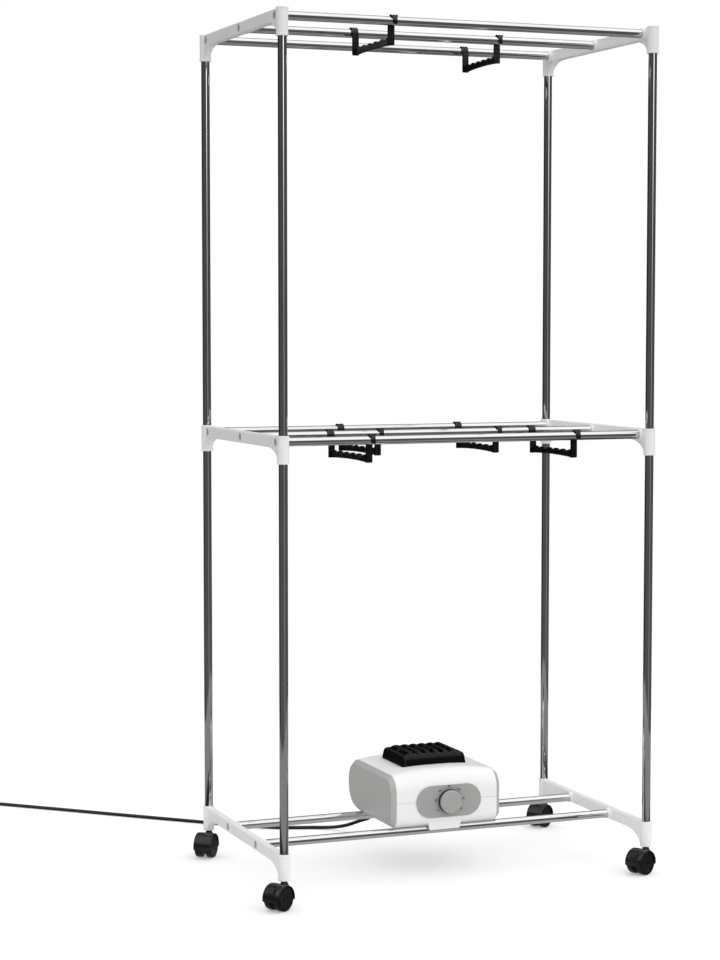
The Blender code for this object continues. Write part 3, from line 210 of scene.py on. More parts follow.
class StageLook(bpy.types.PropertyGroup):
    floor: colour("Floor", "Colour of the pale floor", (0.78, 0.78, 0.78))
    lift: share("Floor lift", "Light that the floor adds towards the camera, up to plain white", 0.27)
    plain_level: share("Plain level", "Even light from all round", 1.03, 2)
    key_share: share("Key share", "How much of the light comes from the front right", 0.50)


# Shapes: each function gives a bmesh

def eased(points, steps=4, closed=False):
    """A line of (a, b, cut) points with each corner rounded off from a distance of cut on both of its sides."""
    line = []
    for index, (a, b, cut) in enumerate(points):
        corner = Vector((a, b))
        if not cut or not (closed or 0 < index < len(points) - 1):
            line.append((a, b))
            continue
        before = (Vector(points[index - 1][:2]) - corner).normalized() * cut
        after = (Vector(points[(index + 1) % len(points)][:2]) - corner).normalized() * cut
        for step in range(steps + 1):
            t = step / steps
            line.append(tuple(corner + before * (1 - t) ** 2 + after * t ** 2))
    return line


def arc(centre, radius_a, radius_b, start, end, steps):
    """Points along part of an ellipse, its angles counted from the first axis."""
    angles = [start + (end - start) * index / steps for index in range(steps + 1)]
    return [(centre[0] + radius_a * math.cos(a), centre[1] + radius_b * math.sin(a)) for a in angles]


def rounded_outline(low, high, radii, steps):
    """A rectangle with round corners: lower left, lower right, upper right, upper left radius."""
    centres = (
        (low[0] + radii[0], low[1] + radii[0]), (high[0] - radii[1], low[1] + radii[1]),
        (high[0] - radii[2], high[1] - radii[2]), (low[0] + radii[3], high[1] - radii[3]),
    )
    outline = []
    for index, (centre, radius) in enumerate(zip(centres, radii)):
        start = math.pi + index * math.pi / 2
        outline += arc(centre, radius, radius, start, start + math.pi / 2, steps)
    return outline


def spun(profile, steps, closed=False):
    """A solid spun about Z from (radius, height) points; closed joins the last point to the first."""
    solid = bmesh.new()
    corners = [solid.verts.new((radius, 0, height)) for radius, height in profile]
    pairs = list(zip(corners, corners[1:]))
    if closed:
        pairs.append((corners[-1], corners[0]))
    edges = [solid.edges.new(pair) for pair in pairs]
    bmesh.ops.spin(solid, geom=corners + edges, cent=(0, 0, 0), axis=(0, 0, 1), angle=math.tau, steps=steps,
                   use_merge=True)
    bmesh.ops.remove_doubles(solid, verts=solid.verts, dist=MERGE_DISTANCE)
    bmesh.ops.recalc_face_normals(solid, faces=solid.faces)
    return solid


def lofted(rings):
    """A closed skin over rings of equally many points: one face, extruded from ring to ring."""
    solid = bmesh.new()
    face = solid.faces.new([solid.verts.new(point) for point in rings[0]])
    for index, ring in enumerate(rings[1:]):
        grown = bmesh.ops.extrude_face_region(solid, geom=[face])
        following = next(item for item in grown["geom"] if isinstance(item, bmesh.types.BMFace))
        if index:
            bmesh.ops.delete(solid, geom=[face], context="FACES_ONLY")
        face = following
        for corner, point in zip(face.verts, ring):
            corner.co = point
    bmesh.ops.recalc_face_normals(solid, faces=solid.faces)
    return solid


def rounded(solid, rims, edge, steps):
    """Rounds the given edges off from a distance of edge on both of their sides."""
    bmesh.ops.bevel(solid, geom=rims, offset=edge, offset_type="OFFSET", segments=steps, profile=0.5,
                    affect="EDGES", material=-1)
    return solid


def prism(outline, low, high, edge, steps=3):
    """An outline of (y, z) points run along X, its two rims rounded by edge."""
    solid = lofted([[(x, y, z) for y, z in outline] for x in (low, high)])
    rims = [rim for rim in solid.edges if abs(rim.verts[0].co.x - rim.verts[1].co.x) < MERGE_DISTANCE]
    return rounded(solid, rims, edge, steps)


def slab(low, high, edge, steps=3):
    """A box between two corners with all its edges rounded."""
    solid = bmesh.new()
    bmesh.ops.create_cube(solid, size=1)
    size = [b - a for a, b in zip(low, high)]
    middle = [(a + b) / 2 for a, b in zip(low, high)]
    placed(solid, Matrix.Translation(middle) @ Matrix.Diagonal((*size, 1)))
    return rounded(solid, solid.edges[:], edge, steps)


def placed(solid, matrix):
    bmesh.ops.transform(solid, matrix=matrix, verts=solid.verts)
    return solid


def moved(solid, x, y, z):
    return placed(solid, Matrix.Translation((x, y, z)))


def turned(solid, degrees, axis):
    return placed(solid, Matrix.Rotation(math.radians(degrees), 4, axis))


def laid_along_x(solid):
    """Turns what runs up Z so that it runs along +X."""
    return turned(solid, 90, "Y")


def laid_along_y(solid):
    """Turns what runs up Z so that it runs along +Y."""
    return turned(solid, -90, "X")


def as_mesh(solid):
    mesh = bpy.data.meshes.new("shape")
    solid.to_mesh(mesh)
    solid.free()
    return mesh


def together(*solids):
    """Several shapes as one bmesh."""
    whole = bmesh.new()
    for solid in solids:
        mesh = as_mesh(solid)
        whole.from_mesh(mesh)
        bpy.data.meshes.remove(mesh)
    return whole


def cut_out(base, *tools):
    """The base with each tool's space cut out of it."""
    bmesh.ops.triangulate(base, faces=[face for face in base.faces if len(face.verts) > 4])
    body = bpy.data.objects.new("base", as_mesh(base))
    cutter = bpy.data.objects.new("cutter", as_mesh(together(*tools)))
    for item in (body, cutter):
        bpy.context.collection.objects.link(item)
    modifier = body.modifiers.new("cut", "BOOLEAN")
    modifier.operation = "DIFFERENCE"
    modifier.solver = "EXACT"
    modifier.object = cutter
    shape = body.evaluated_get(bpy.context.evaluated_depsgraph_get())
    result = bmesh.new()
    result.from_mesh(shape.to_mesh())
    shape.to_mesh_clear()
    bmesh.ops.remove_doubles(result, verts=result.verts, dist=MERGE_DISTANCE)
    bmesh.ops.triangulate(result, faces=[face for face in result.faces if len(face.verts) > 4])
    for used in (body, cutter):
        bpy.data.objects.remove(used, do_unlink=True)
    return result


def piece(name, solid, finish, body, replaces=()):
    """One finished piece that rides on a body and stands for the CAD nodes that it replaces."""
    mesh = as_mesh(solid)
    mesh.name = name
    mesh.shade_smooth()
    mesh.set_sharp_from_angle(angle=SMOOTH_ANGLE)
    mesh.materials.append(finish_of(finish))
    part = bpy.data.objects.new(name, mesh)
    bpy.context.collection.objects.link(part)
    shading = part.modifiers.new("level_faces", "WEIGHTED_NORMAL")
    shading.keep_sharp = True
    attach(part, body)
    if replaces:
        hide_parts(*replaces)
    return part


def stand_frame():
    """The middle of the four posts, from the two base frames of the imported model."""
    corners = [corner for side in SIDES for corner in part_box(f"end_frame_base_{side}")]
    x = (min(c[0] for c in corners) + max(c[0] for c in corners)) / 2
    y = (min(c[1] for c in corners) + max(c[1] for c in corners)) / 2
    return Matrix.Translation((x, y, 0))


def heater_frame():
    return stand_frame() @ Matrix.Translation((HEATER_X, 0, 0))


# Finishes


def node_of(tree, kind, **settings):
    """A shader node; inputs are given by name with _ for a space."""
    node = tree.nodes.new(kind)
    for key, value in settings.items():
        label = key.replace("_", " ").title()
        if label in node.inputs:
            node.inputs[label].default_value = value
        else:
            setattr(node, key, value)
    return node


def object_noise(tree, scale, detail, stretch=(1, 1, 1)):
    """Noise on Object coordinates, drawn out along an axis by a small stretch there."""
    place = node_of(tree, "ShaderNodeTexCoord")
    turn = node_of(tree, "ShaderNodeMapping", Scale=stretch)
    noise = node_of(tree, "ShaderNodeTexNoise", Scale=scale, Detail=detail)
    tree.links.new(place.outputs["Object"], turn.inputs["Vector"])
    tree.links.new(turn.outputs["Vector"], noise.inputs["Vector"])
    return noise.outputs["Fac"]


def map_range(tree, source, span, target=(0, 1), shape="LINEAR"):
    """A value carried over from one span to another and held inside it."""
    node = node_of(tree, "ShaderNodeMapRange", From_Min=span[0], From_Max=span[1], To_Min=target[0],
                   To_Max=target[1], interpolation_type=shape)
    tree.links.new(source, node.inputs["Value"])
    return node.outputs["Result"]


def spread_colour(tree, shader, source, colour_value, change):
    """A slow drift of the colour to either side of its value."""
    tint = node_of(tree, "ShaderNodeValToRGB")
    tint.color_ramp.elements[0].position = 0.35
    tint.color_ramp.elements[1].position = 0.65
    tint.color_ramp.elements[0].color = (*[c * (1 - change) for c in colour_value], 1)
    tint.color_ramp.elements[1].color = (*[min(1, c * (1 + change)) for c in colour_value], 1)
    tree.links.new(source, tint.inputs["Fac"])
    tree.links.new(tint.outputs["Color"], shader.inputs["Base Color"])


def uneven_finish(name, colour_value, roughness, spread, drift, depth, gloss, shade, grain, metal=0, shine=0.5):
    """A finish with an uneven gloss, a slow drift of shade and a raised grain, each from a noise of its own."""
    material = bpy.data.materials.new(f"{name}_finish")
    material.use_nodes = True
    tree = material.node_tree
    shader = tree.nodes["Principled BSDF"]
    for label, value in (("Base Color", (*colour_value, 1)), ("Roughness", roughness), ("Metallic", metal),
                         ("Specular IOR Level", shine)):
        shader.inputs[label].default_value = value
    rough = map_range(tree, object_noise(tree, *gloss), (0.3, 0.7), (roughness - spread, roughness + spread))
    tree.links.new(rough, shader.inputs["Roughness"])
    spread_colour(tree, shader, object_noise(tree, *shade), colour_value, drift)
    bump = node_of(tree, "ShaderNodeBump", Strength=1.0, Distance=depth)
    tree.links.new(object_noise(tree, *grain), bump.inputs["Height"])
    tree.links.new(bump.outputs["Normal"], shader.inputs["Normal"])
    return material


def plated_steel(name, colour_value):
    """Bright plate on drawn tube: almost a mirror, with faint wipe marks and a slight unevenness."""
    return uneven_finish(name, colour_value, 0.05, 0.02, 0.03, 0.00001, (26, 4), (8, 2), (60, 2), metal=1)


def moulded_plastic(name, colour_value, roughness, grain_scale, depth, drift, shine=0.5):
    """Moulded plastic: a fine tool grain, a slow drift of gloss and a slight drift of shade."""
    return uneven_finish(name, colour_value, roughness, 0.05, drift, depth, (14, 3), (5, 2), (grain_scale, 2),
                         shine=shine)


def cord_sheath(name, colour_value):
    """Soft sheath with an uneven sheen and fine dust."""
    return uneven_finish(name, colour_value, 0.5, 0.08, 0.2, 0.00003, (120, 3), (40, 3), (900, 2))


def drawn_metal(name, colour_value, roughness):
    """Plain metal with fine marks drawn out along one way."""
    marks = (300, 3, (1, 0.08, 1))
    return uneven_finish(name, colour_value, roughness, 0.08, 0.06, 0.00003, marks, (30, 3), marks, metal=1)


def finish_of(name):
    """A finish by its name, made once."""
    made = bpy.data.materials.get(f"{name}_finish")
    if made:
        return made
    colours = bpy.context.scene.dryer_finishes
    makers = {
        "chrome": (plated_steel, colours.chrome),
        "white_plastic": (moulded_plastic, colours.white, 0.36, 1100, 0.00003, 0.008),
        # This grey also colours the discs in the rail recesses, where it is painted shade.
        "grey_plastic": (moulded_plastic, colours.grey, 0.44, 1400, 0.00006, 0.015),
        "cover_grey": (moulded_plastic, colours.cover, 0.34, 1400, 0.00004, 0.015),
        "black_plastic": (moulded_plastic, colours.black, 0.24, 1200, 0.00005, 0.15, 0.45),
        "tyre_black": (moulded_plastic, [c * 1.2 for c in colours.black], 0.36, 900, 0.00004, 0.15, 0.25),
        "black_gloss": (moulded_plastic, colours.gloss, 0.14, 700, 0.00002, 0.1, 0.2),
        # Also colours the knob's band, where this dark is painted shade.
        "dial_ink": (moulded_plastic, colours.ink, 0.5, 2000, 0.00001, 0.05),
        "cord_black": (cord_sheath, colours.sheath),
        "zinc_steel": (drawn_metal, (0.60, 0.60, 0.58), 0.35),
        "element_metal": (drawn_metal, (0.70, 0.70, 0.70), 0.35),
        "brass": (drawn_metal, (0.75, 0.58, 0.28), 0.28),
        "inner_plastic": (moulded_plastic, (0.30, 0.29, 0.27), 0.55, 900, 0.00005, 0.05),
    }
    maker, *values = makers[name]
    return maker(name, *values)


# Camera and cord

class DRYER_OT_camera(bpy.types.Operator):
    """Sets the camera where the stand is seen from its front left, a little above its middle tier"""
    bl_idname = "dryer.camera"
    bl_label = "Camera"

    def execute(self, context):
        data = bpy.data.cameras.new("camera")
        data.lens = 85.88
        data.sensor_width = 36
        data.clip_end = 50
        camera = bpy.data.objects.new("camera", data)
        context.collection.objects.link(camera)
        camera.location = stand_frame() @ Vector((-1.7152, -4.0036, 1.0505))
        camera.rotation_euler = (math.radians(85.94), 0, math.radians(-21.57))
        context.scene.camera = camera
        return {"FINISHED"}


def grip_frame():
    """Where the cord grip sits in the heater's frame: Z runs out of the wall at its lower back corner."""
    radius = SHELL_RADII[1]
    centre = Vector((GRIP_X, SHELL_BACK - radius, SHELL_BOTTOM + radius))
    return Matrix.Translation(centre) @ Matrix.Rotation(GRIP_ANGLE - math.radians(90), 4, "X")


def smooth_route(route, leaving, arriving, count):
    """Points at even steps on a smooth curve through the route's points, which keeps both end directions."""
    dense = []
    first_reach = (route[1] - route[0]).length * 2
    last_reach = (route[-1] - route[-2]).length * 2
    padded = [route[1] - leaving * first_reach, *route, route[-2] + arriving * last_reach]
    for p0, p1, p2, p3 in zip(padded, padded[1:], padded[2:], padded[3:]):
        for index in range(16):
            t = index / 16
            dense.append(((p1 * 2) + (p2 - p0) * t + (p0 * 2 - p1 * 5 + p2 * 4 - p3) * t ** 2
                          + (p1 * 3 - p0 - p2 * 3 + p3) * t ** 3) / 2)
    dense.append(route[-1])
    lengths = [0]
    for a, b in zip(dense, dense[1:]):
        lengths.append(lengths[-1] + (b - a).length)
    points = []
    place = 0
    for index in range(count):
        target = lengths[-1] * index / (count - 1)
        while place < len(dense) - 2 and lengths[place + 1] < target:
            place += 1
        part = (target - lengths[place]) / (lengths[place + 1] - lengths[place])
        points.append(dense[place].lerp(dense[place + 1], part))
    return points


def coil_points(start, heading, radius):
    """The coil's middle line: in along the floor, a climb at the inner turn, and out again on top."""
    side = Vector((-heading.y, heading.x, 0))
    middle = start + heading * radius * 2 + side * COIL_OUTER_RADIUS
    first_angle = math.atan2(-side.y, -side.x)
    step = radius * 2 + COIL_SPACING
    total = round(LOOP_POINTS * COIL_TURNS_EACH_WAY) * 2
    points = [start]
    for index in range(total + 1):
        progress = index / total
        turns = COIL_TURNS_EACH_WAY * 2 * progress
        inward = COIL_TURNS_EACH_WAY - abs(turns - COIL_TURNS_EACH_WAY)
        reach = COIL_OUTER_RADIUS - step * inward
        climb = min(1, max(0, (progress - 0.5) * COIL_TURNS_EACH_WAY * 2 + 0.5))
        eased_climb = climb * climb * (3 - 2 * climb)
        angle = first_angle + math.tau * turns
        points.append(Vector((middle.x + reach * math.cos(angle), middle.y + reach * math.sin(angle),
                              start.z + step * eased_climb)))
    leaving = (points[-1] - points[-2]).normalized()
    points.append(points[-1] + leaving * COIL_LEAD)
    return points


def cord_line(radius):
    """The cord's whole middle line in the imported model's frame, from the grip's tip to the plug."""
    frame_of_grip = heater_frame() @ grip_frame()
    start = frame_of_grip @ Vector((0, 0, GRIP_TIP))
    leaving = (frame_of_grip.to_3x3() @ Vector((0, 0, 1))).normalized()
    route = [stand_frame() @ Vector(point) for point in CORD_ROUTE]
    heading = (route[-1] - route[-2]).normalized()
    free = smooth_route([start + leaving * radius * 2, *route], leaving, heading, ROUTE_POINTS)
    end = route[-1] + heading * radius * 2
    return [start, *free, end, *coil_points(end + heading * FIT_GAP, heading, radius)[1:]]


class DRYER_OT_cord(bpy.types.Operator):
    """Makes the mains cord: down behind the heater, out over the floor, and its spare length in a coil"""
    bl_idname = "dryer.cord"
    bl_label = "Mains cord"

    def execute(self, context):
        radius = context.scene.dryer_cord.radius
        points = cord_line(radius)
        curve = bpy.data.curves.new("mains_cord", "CURVE")
        curve.dimensions = "3D"
        spline = curve.splines.new("POLY")
        spline.points.add(len(points) - 1)
        for place, point in zip(spline.points, points):
            place.co = (*point, 1)
        spline.use_smooth = True
        curve.bevel_depth = radius
        curve.bevel_resolution = 5
        curve.use_fill_caps = True
        curve.materials.append(finish_of("cord_black"))
        cord = bpy.data.objects.new("mains_cord", curve)
        context.collection.objects.link(cord)
        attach(cord, "rack")
        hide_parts("mains_cord_run", "mains_cord_coil")
        return {"FINISHED"}


# Stand

def tube(length_of, sizes):
    """A thin tube that runs up Z from 0, the rims of its ends a little rounded."""
    radius, wall = sizes.tube_radius, sizes.tube_wall
    edge, hold = wall * 0.3, wall * 3
    ring = eased([
        (radius, 0, edge), (radius, hold, 0), (radius, length_of - hold, 0), (radius, length_of, edge),
        (radius - wall, length_of, edge), (radius - wall, length_of - hold, 0), (radius - wall, hold, 0),
        (radius - wall, 0, edge),
    ], 2, closed=True)
    return spun(ring, sizes.tube_steps, closed=True)


class DRYER_OT_posts(bpy.types.Operator):
    """Makes the eight plated tubes of the four posts, which meet inside the middle frames"""
    bl_idname = "dryer.posts"
    bl_label = "Posts"

    def execute(self, context):
        sizes = context.scene.dryer_stand
        clear = SLEEVE_LEVELS["middle"] - SLEEVE_LEVELS["base"] - SLEEVE_HEIGHT
        for storey, tier in (("lower", "base"), ("upper", "middle")):
            foot = SLEEVE_LEVELS[tier] + SLEEVE_HEIGHT - POST_INSERT
            for row, y_sign in ROWS.items():
                for side, x_sign in SIDES.items():
                    name = f"post_{storey}_{row}_{side}"
                    solid = moved(tube(clear + POST_INSERT * 2, sizes), x_sign * sizes.post_span_x / 2,
                                  y_sign * sizes.post_span_y / 2, foot)
                    piece(f"{name}_tube", placed(solid, stand_frame()), "chrome", "rack", [name])
        return {"FINISHED"}


class DRYER_OT_rails(bpy.types.Operator):
    """Makes the eight plated rails that clothes and hangers are hung on"""
    bl_idname = "dryer.rails"
    bl_label = "Rails"

    def execute(self, context):
        sizes = context.scene.dryer_stand
        half = sizes.post_span_x / 2 - BEAM_HALF - COLLAR_LENGTH + RAIL_INSERT
        for tier, places in RAIL_PLACES.items():
            for row, y in places.items():
                solid = moved(laid_along_x(tube(half * 2, sizes)), -half, y, SLEEVE_LEVELS[tier] + RAIL_RISE)
                piece(f"rail_{tier}_{row}_tube", placed(solid, stand_frame()), "chrome", "rack",
                      [f"rail_{tier}_{row}"])
        return {"FINISHED"}


def sleeve(tier, radius):
    """The round sleeve at a beam's end, with the sockets that its tier needs and a bead at each open mouth."""
    foot = 0.0027 if tier == "base" else 0
    socket = radius + FIT_GAP
    depth = POST_INSERT + FIT_GAP
    body, bead, bead_height = 0.0106, 0.011, 0.0035
    lower = [(0, 0.0210, 0), (0.0049, 0.0210, 0), (0.0049, foot, 0.0004)] if tier == "base" else [
        (0, depth, 0), (socket, depth, 0), (socket, 0, 0.0005)]
    upper = [(0.0090, SLEEVE_HEIGHT - 0.0003, 0.0003), (0, SLEEVE_HEIGHT - 0.0003, 0)] if tier == "top" else [
        (socket, SLEEVE_HEIGHT, 0.0005), (socket, SLEEVE_HEIGHT - depth, 0), (0, SLEEVE_HEIGHT - depth, 0)]
    walls = [
        (bead, foot, 0.0008), (bead, foot + bead_height, 0.0003), (body, foot + bead_height + 0.0005, 0.0003),
        (body, SLEEVE_HEIGHT - bead_height - 0.0005, 0.0003), (bead, SLEEVE_HEIGHT - bead_height, 0.0003),
        (bead, SLEEVE_HEIGHT, 0.0012),
    ]
    return spun(eased(lower + walls + upper), 48)


def beam_outline(half_span):
    """The beam with its two gussets, as (y, z) points that run on to the sleeves' middles."""
    top = SLEEVE_HEIGHT - BEAM_DROP
    reach = 0.055
    gusset = arc((half_span - 0.011 - reach, 0), reach, top - BEAM_HEIGHT, math.radians(8), math.pi / 2, 20)
    foot = gusset[0][1]
    mirrored = [(-y, z) for y, z in reversed(gusset)]
    return [(-half_span, top), (half_span, top), (half_span, foot)] + gusset + mirrored + [(-half_span, foot)]


def beam(half_span):
    """The beam with rounded rims, cut off square inside its sleeves' walls."""
    solid = prism(beam_outline(half_span), -BEAM_HALF, BEAM_HALF, 0.0024, 4)
    end = half_span - 0.0085
    for sign in (-1, 1):
        bmesh.ops.bisect_plane(solid, geom=solid.verts[:] + solid.edges[:] + solid.faces[:],
                               plane_co=(0, sign * end, 0), plane_no=(0, sign, 0), clear_outer=True)
        bmesh.ops.holes_fill(solid, edges=[edge for edge in solid.edges if edge.is_boundary], sides=0)
    bmesh.ops.recalc_face_normals(solid, faces=solid.faces)
    return solid


def end_frame(tier, sizes):
    """A left end frame with its sleeves' feet at z = 0."""
    half = sizes.post_span_y / 2
    marks = []
    parts = []
    socket = sizes.tube_radius + FIT_GAP
    face = BEAM_HALF + COLLAR_LENGTH
    collar = eased([(socket, 0, 0), (0.0100, 0, 0), (0.0098, face - 0.0002, 0.0011), (socket, face, 0.0005)])
    for y in RAIL_PLACES[tier].values():
        marks.append(moved(laid_along_x(spun([(0, -0.010), (0.0074, -0.010), (0.0072, 0), (0, 0)], 40)),
                           RECESS_DEPTH - BEAM_HALF, y, RAIL_RISE))
        parts.append(moved(laid_along_x(spun(collar, 40, closed=True)), 0, y, RAIL_RISE))
    places = sorted(RAIL_PLACES[tier].values())
    for a, b in zip(places, places[1:]):
        patch = eased([(0, 0, 0), (0.0085, 0, 0), (0.0085, 0.0003, 0.0002), (0, 0.0003, 0)])
        parts.append(moved(laid_along_x(spun(patch, 32)), BEAM_HALF - 0.00005, (a + b) / 2, RAIL_RISE))
    for y in (-half, half):
        parts.append(moved(sleeve(tier, sizes.tube_radius), 0, y, 0))
    return together(cut_out(beam(half), *marks), *parts)


def recess_shade_discs(tier):
    """Grey discs at the bottom of the recesses behind the rails of a left end frame: painted shade, dark discs that
    stand in for the shade inside each recess.
    """
    disc = eased([(0, 0, 0), (0.0068, 0, 0), (0.0068, 0.0010, 0.0003), (0, 0.0010, 0)])
    shade_discs = []
    for y in RAIL_PLACES[tier].values():
        shade_disc = turned(laid_along_x(spun(disc, 40)), 180, "Z")
        shade_discs.append(moved(shade_disc, RECESS_DEPTH + 0.0001 - BEAM_HALF, y, RAIL_RISE))
    return together(*shade_discs)


class DRYER_OT_end_frames(bpy.types.Operator):
    """Makes the six white end frames: a beam with gussets between two sleeves, with a collar for each rail"""
    bl_idname = "dryer.end_frames"
    bl_label = "End frames"

    def execute(self, context):
        sizes = context.scene.dryer_stand
        for tier, level in SLEEVE_LEVELS.items():
            for side, sign in SIDES.items():
                place = stand_frame() @ Matrix.Translation((sign * sizes.post_span_x / 2, 0, level))
                if side == "right":
                    place = place @ Matrix.Rotation(math.pi, 4, "Z")
                name = f"end_frame_{tier}_{side}"
                piece(f"{name}_moulding", placed(end_frame(tier, sizes), place), "white_plastic", "rack", [name])
                # The grey discs are painted shade in the rail recesses.
                piece(f"{name}_pins", placed(recess_shade_discs(tier), place), "grey_plastic", "rack")
        return {"FINISHED"}


# Castors

def castor_frame(corner, sizes):
    row, side = corner.split("_")
    x = SIDES[side] * sizes.post_span_x / 2
    y = ROWS[row] * sizes.post_span_y / 2
    turn = Matrix.Rotation(math.radians(CASTOR_TURNS[corner]), 4, "Z")
    return stand_frame() @ Matrix.Translation((x, y, 0)) @ turn


def on_axle(solid):
    return moved(laid_along_y(solid), AXLE_TRAIL, 0, WHEEL_RADIUS)


def along_ray(solid):
    """Takes a shape whose X runs out along the lever's ray, its pivot at 0, into the castor's frame."""
    x = AXLE_TRAIL + LEVER_PIVOT_REACH * math.cos(LEVER_RAY)
    z = WHEEL_RADIUS + LEVER_PIVOT_REACH * math.sin(LEVER_RAY)
    return placed(solid, Matrix.Translation((x, 0, z)) @ Matrix.Rotation(-LEVER_RAY, 4, "Y"))


def castor_housing(braked):
    """Hood, web, neck and stem; the hood is cut off level below its lip and its edges are rounded."""
    inner, outer, half = 0.0234, 0.0250, 0.0180
    section = eased([
        (0, -WEB_HALF, 0), (inner, -WEB_HALF, 0.0012), (inner, -half, 0.0002), (outer - 0.0006, -half, 0.0007),
        (outer, -half + 0.0045, 0.0030), (outer, half - 0.0045, 0.0030), (outer - 0.0006, half, 0.0007),
        (inner, half, 0.0002), (inner, WEB_HALF, 0.0012), (0, WEB_HALF, 0),
    ])
    drum = on_axle(spun(section, 72))
    tools = [slab((-0.035, -0.030, -0.010), (0.060, 0.030, 0.018), 0.0005)]
    hole = laid_along_x(spun([(0, -0.004), (0.0019, -0.004), (0.0019, 0.006), (0, 0.006)], 24))
    about_axle = Matrix.Translation((AXLE_TRAIL, 0, WHEEL_RADIUS)) @ Matrix.Rotation(-HOOD_HOLE_RAY, 4, "Y")
    tools.append(placed(moved(hole, 0.0235, 0, 0), about_axle))
    if braked:
        tools.append(along_ray(slab((-0.0032, -0.0027, -0.0045), (0.0172, 0.0027, 0.0045), 0.0003)))
    neck = spun(eased([
        (0, 0.0400, 0), (0.0086, 0.0400, 0), (0.0084, 0.0436, 0.002), (0.0060, 0.0462, 0.002),
        (0.0058, 0.0504, 0.0003), (0.0045, 0.0504, 0), (0.0045, 0.0684, 0.0008), (0, 0.0684, 0),
    ]), 40)
    column = slab((-0.0066, -0.0039, 0.0183), (0.0066, 0.0039, 0.0447), 0.0010)
    rivet_half = WHEEL_INNER_FACE + WHEEL_WIDTH
    axle = on_axle(spun(eased([(0, -rivet_half, 0), (0.0025, -rivet_half, 0.0007), (0.0025, rivet_half, 0.0007),
                               (0, rivet_half, 0)]), 24))
    return together(cut_out(drum, *tools), neck, column, axle)


def castor_wheel():
    """A wheel with its inner face at 0: a rounded tread, a groove round its disc and a hub ring."""
    top = WHEEL_WIDTH
    ring = eased([
        (0.0028, 0.0006, 0.0002), (0.0080, 0, 0.0003), (0.0200, 0, 0.0003), (WHEEL_RADIUS, 0.0006, 0.0012),
        (WHEEL_RADIUS, top - 0.0008, 0.0018), (0.0196, top, 0.0003), (0.0194, top - 0.0016, 0.0003),
        (0.0184, top - 0.0016, 0.0003), (0.0182, top - 0.0003, 0.0004), (0.0072, top - 0.0008, 0.0003),
        (0.0070, top, 0.0004), (0.0052, top, 0.0004), (0.0050, top - 0.0010, 0.0003), (0.0028, top - 0.0010, 0),
    ], 3, closed=True)
    return laid_along_y(spun(ring, 72, closed=True))


class DRYER_OT_castors(bpy.types.Operator):
    """Makes the four twin-wheel castors with their hoods, stems and wheels"""
    bl_idname = "dryer.castors"
    bl_label = "Castors"

    def execute(self, context):
        sizes = context.scene.dryer_stand
        for corner in CASTOR_TURNS:
            place = castor_frame(corner, sizes)
            housing = f"castor_housing_{corner}"
            piece(f"{housing}_hood", placed(castor_housing(corner in BRAKED_CASTORS), place), "black_plastic",
                  f"castor_{corner}", [housing])
            for where, y, turn in (("inner", -WHEEL_INNER_FACE, 180), ("outer", WHEEL_INNER_FACE, 0)):
                wheel = f"castor_wheel_{corner}_{where}"
                solid = moved(turned(castor_wheel(), turn, "Z"), AXLE_TRAIL, y, WHEEL_RADIUS)
                piece(f"{wheel}_disc", placed(solid, place), "tyre_black", wheel, [wheel])
        return {"FINISHED"}


class DRYER_OT_brake_levers(bpy.types.Operator):
    """Makes the ribbed brake pedals of the two front castors"""
    bl_idname = "dryer.brake_levers"
    bl_label = "Brake levers"

    def execute(self, context):
        sizes = context.scene.dryer_stand
        low = 0.0250 - LEVER_PIVOT_REACH + 0.0008
        for corner in BRAKED_CASTORS:
            parts = [
                slab((0, -0.0024, -0.00175), (low + 0.0011, 0.0024, 0.00175), 0.0004),
                laid_along_y(spun(eased([(0, -0.0024, 0), (0.0026, -0.0024, 0.0003), (0.0026, 0.0024, 0.0003),
                                         (0, 0.0024, 0)]), 24)),
                laid_along_y(spun([(0, -0.0036), (0.0013, -0.0036), (0.0013, 0.0036), (0, 0.0036)], 20)),
                slab((low, -0.0065, -0.0055), (low + 0.0022, 0.0065, 0.0055), 0.0008, 4),
            ]
            for z in (-0.0030, 0, 0.0030):
                parts.append(slab((low + 0.0016, -0.0052, z - 0.0006), (low + 0.0028, 0.0052, z + 0.0006), 0.0003))
            name = f"brake_lever_{corner}"
            solid = placed(along_ray(together(*parts)), castor_frame(corner, sizes))
            piece(f"{name}_pedal", solid, "black_plastic", name, [name])
        return {"FINISHED"}


# Hangers

def hook_outline(reach, bore, wall):
    """Hook and arm over the rail at y = reach, as (y, z) points from the rail's middle, the lower corner round."""
    centre_z = FIT_GAP - 0.001
    tip = math.radians(-28)
    bottom = -ARM_DROP
    outside = reach - bore
    inside = outside - 0.0045
    outer_arc = arc((reach, centre_z), bore + wall, bore + wall, tip, math.pi, 28)
    inner_arc = arc((reach, centre_z), bore, bore, math.pi, tip, 28)
    arm = eased([(inside, centre_z, 0), (inside, bottom, 0), (outside, bottom, 0.0032), (outside, centre_z, 0)], 5)
    return outer_arc + arm[:-1] + inner_arc


def narrowed(solid, reach):
    """Draws the hook in towards its tip."""
    for corner in solid.verts:
        past = max(0, corner.co.y - reach) / 0.0121
        if corner.co.z < 0.008:
            corner.co.x *= 1 - 0.5 * min(1, past)
    return solid


def hook_solid(reach):
    """A strap with a rib along each edge and one down its middle, and an oval eye on its tip."""
    bore = 0.0091
    parts = [narrowed(prism(hook_outline(reach, bore, 0.0023), -0.006, 0.006, 0.0005), reach)]
    for low, high in ((-0.006, -0.0044), (-0.0007, 0.0007), (0.0044, 0.006)):
        parts.append(narrowed(prism(hook_outline(reach, bore, 0.0030), low, high, 0.0003), reach))
    eye = spun(arc((0.0017, 0), 0.0006, 0.0006, 0, math.tau * 15 / 16, 15), 32, closed=True)
    placed(eye, Matrix.Diagonal((0.8, 1, 1.3, 1)) @ Matrix.Rotation(math.radians(90), 4, "X"))
    parts.append(moved(eye, 0, reach + 0.0110, -0.0012))
    return together(*parts)


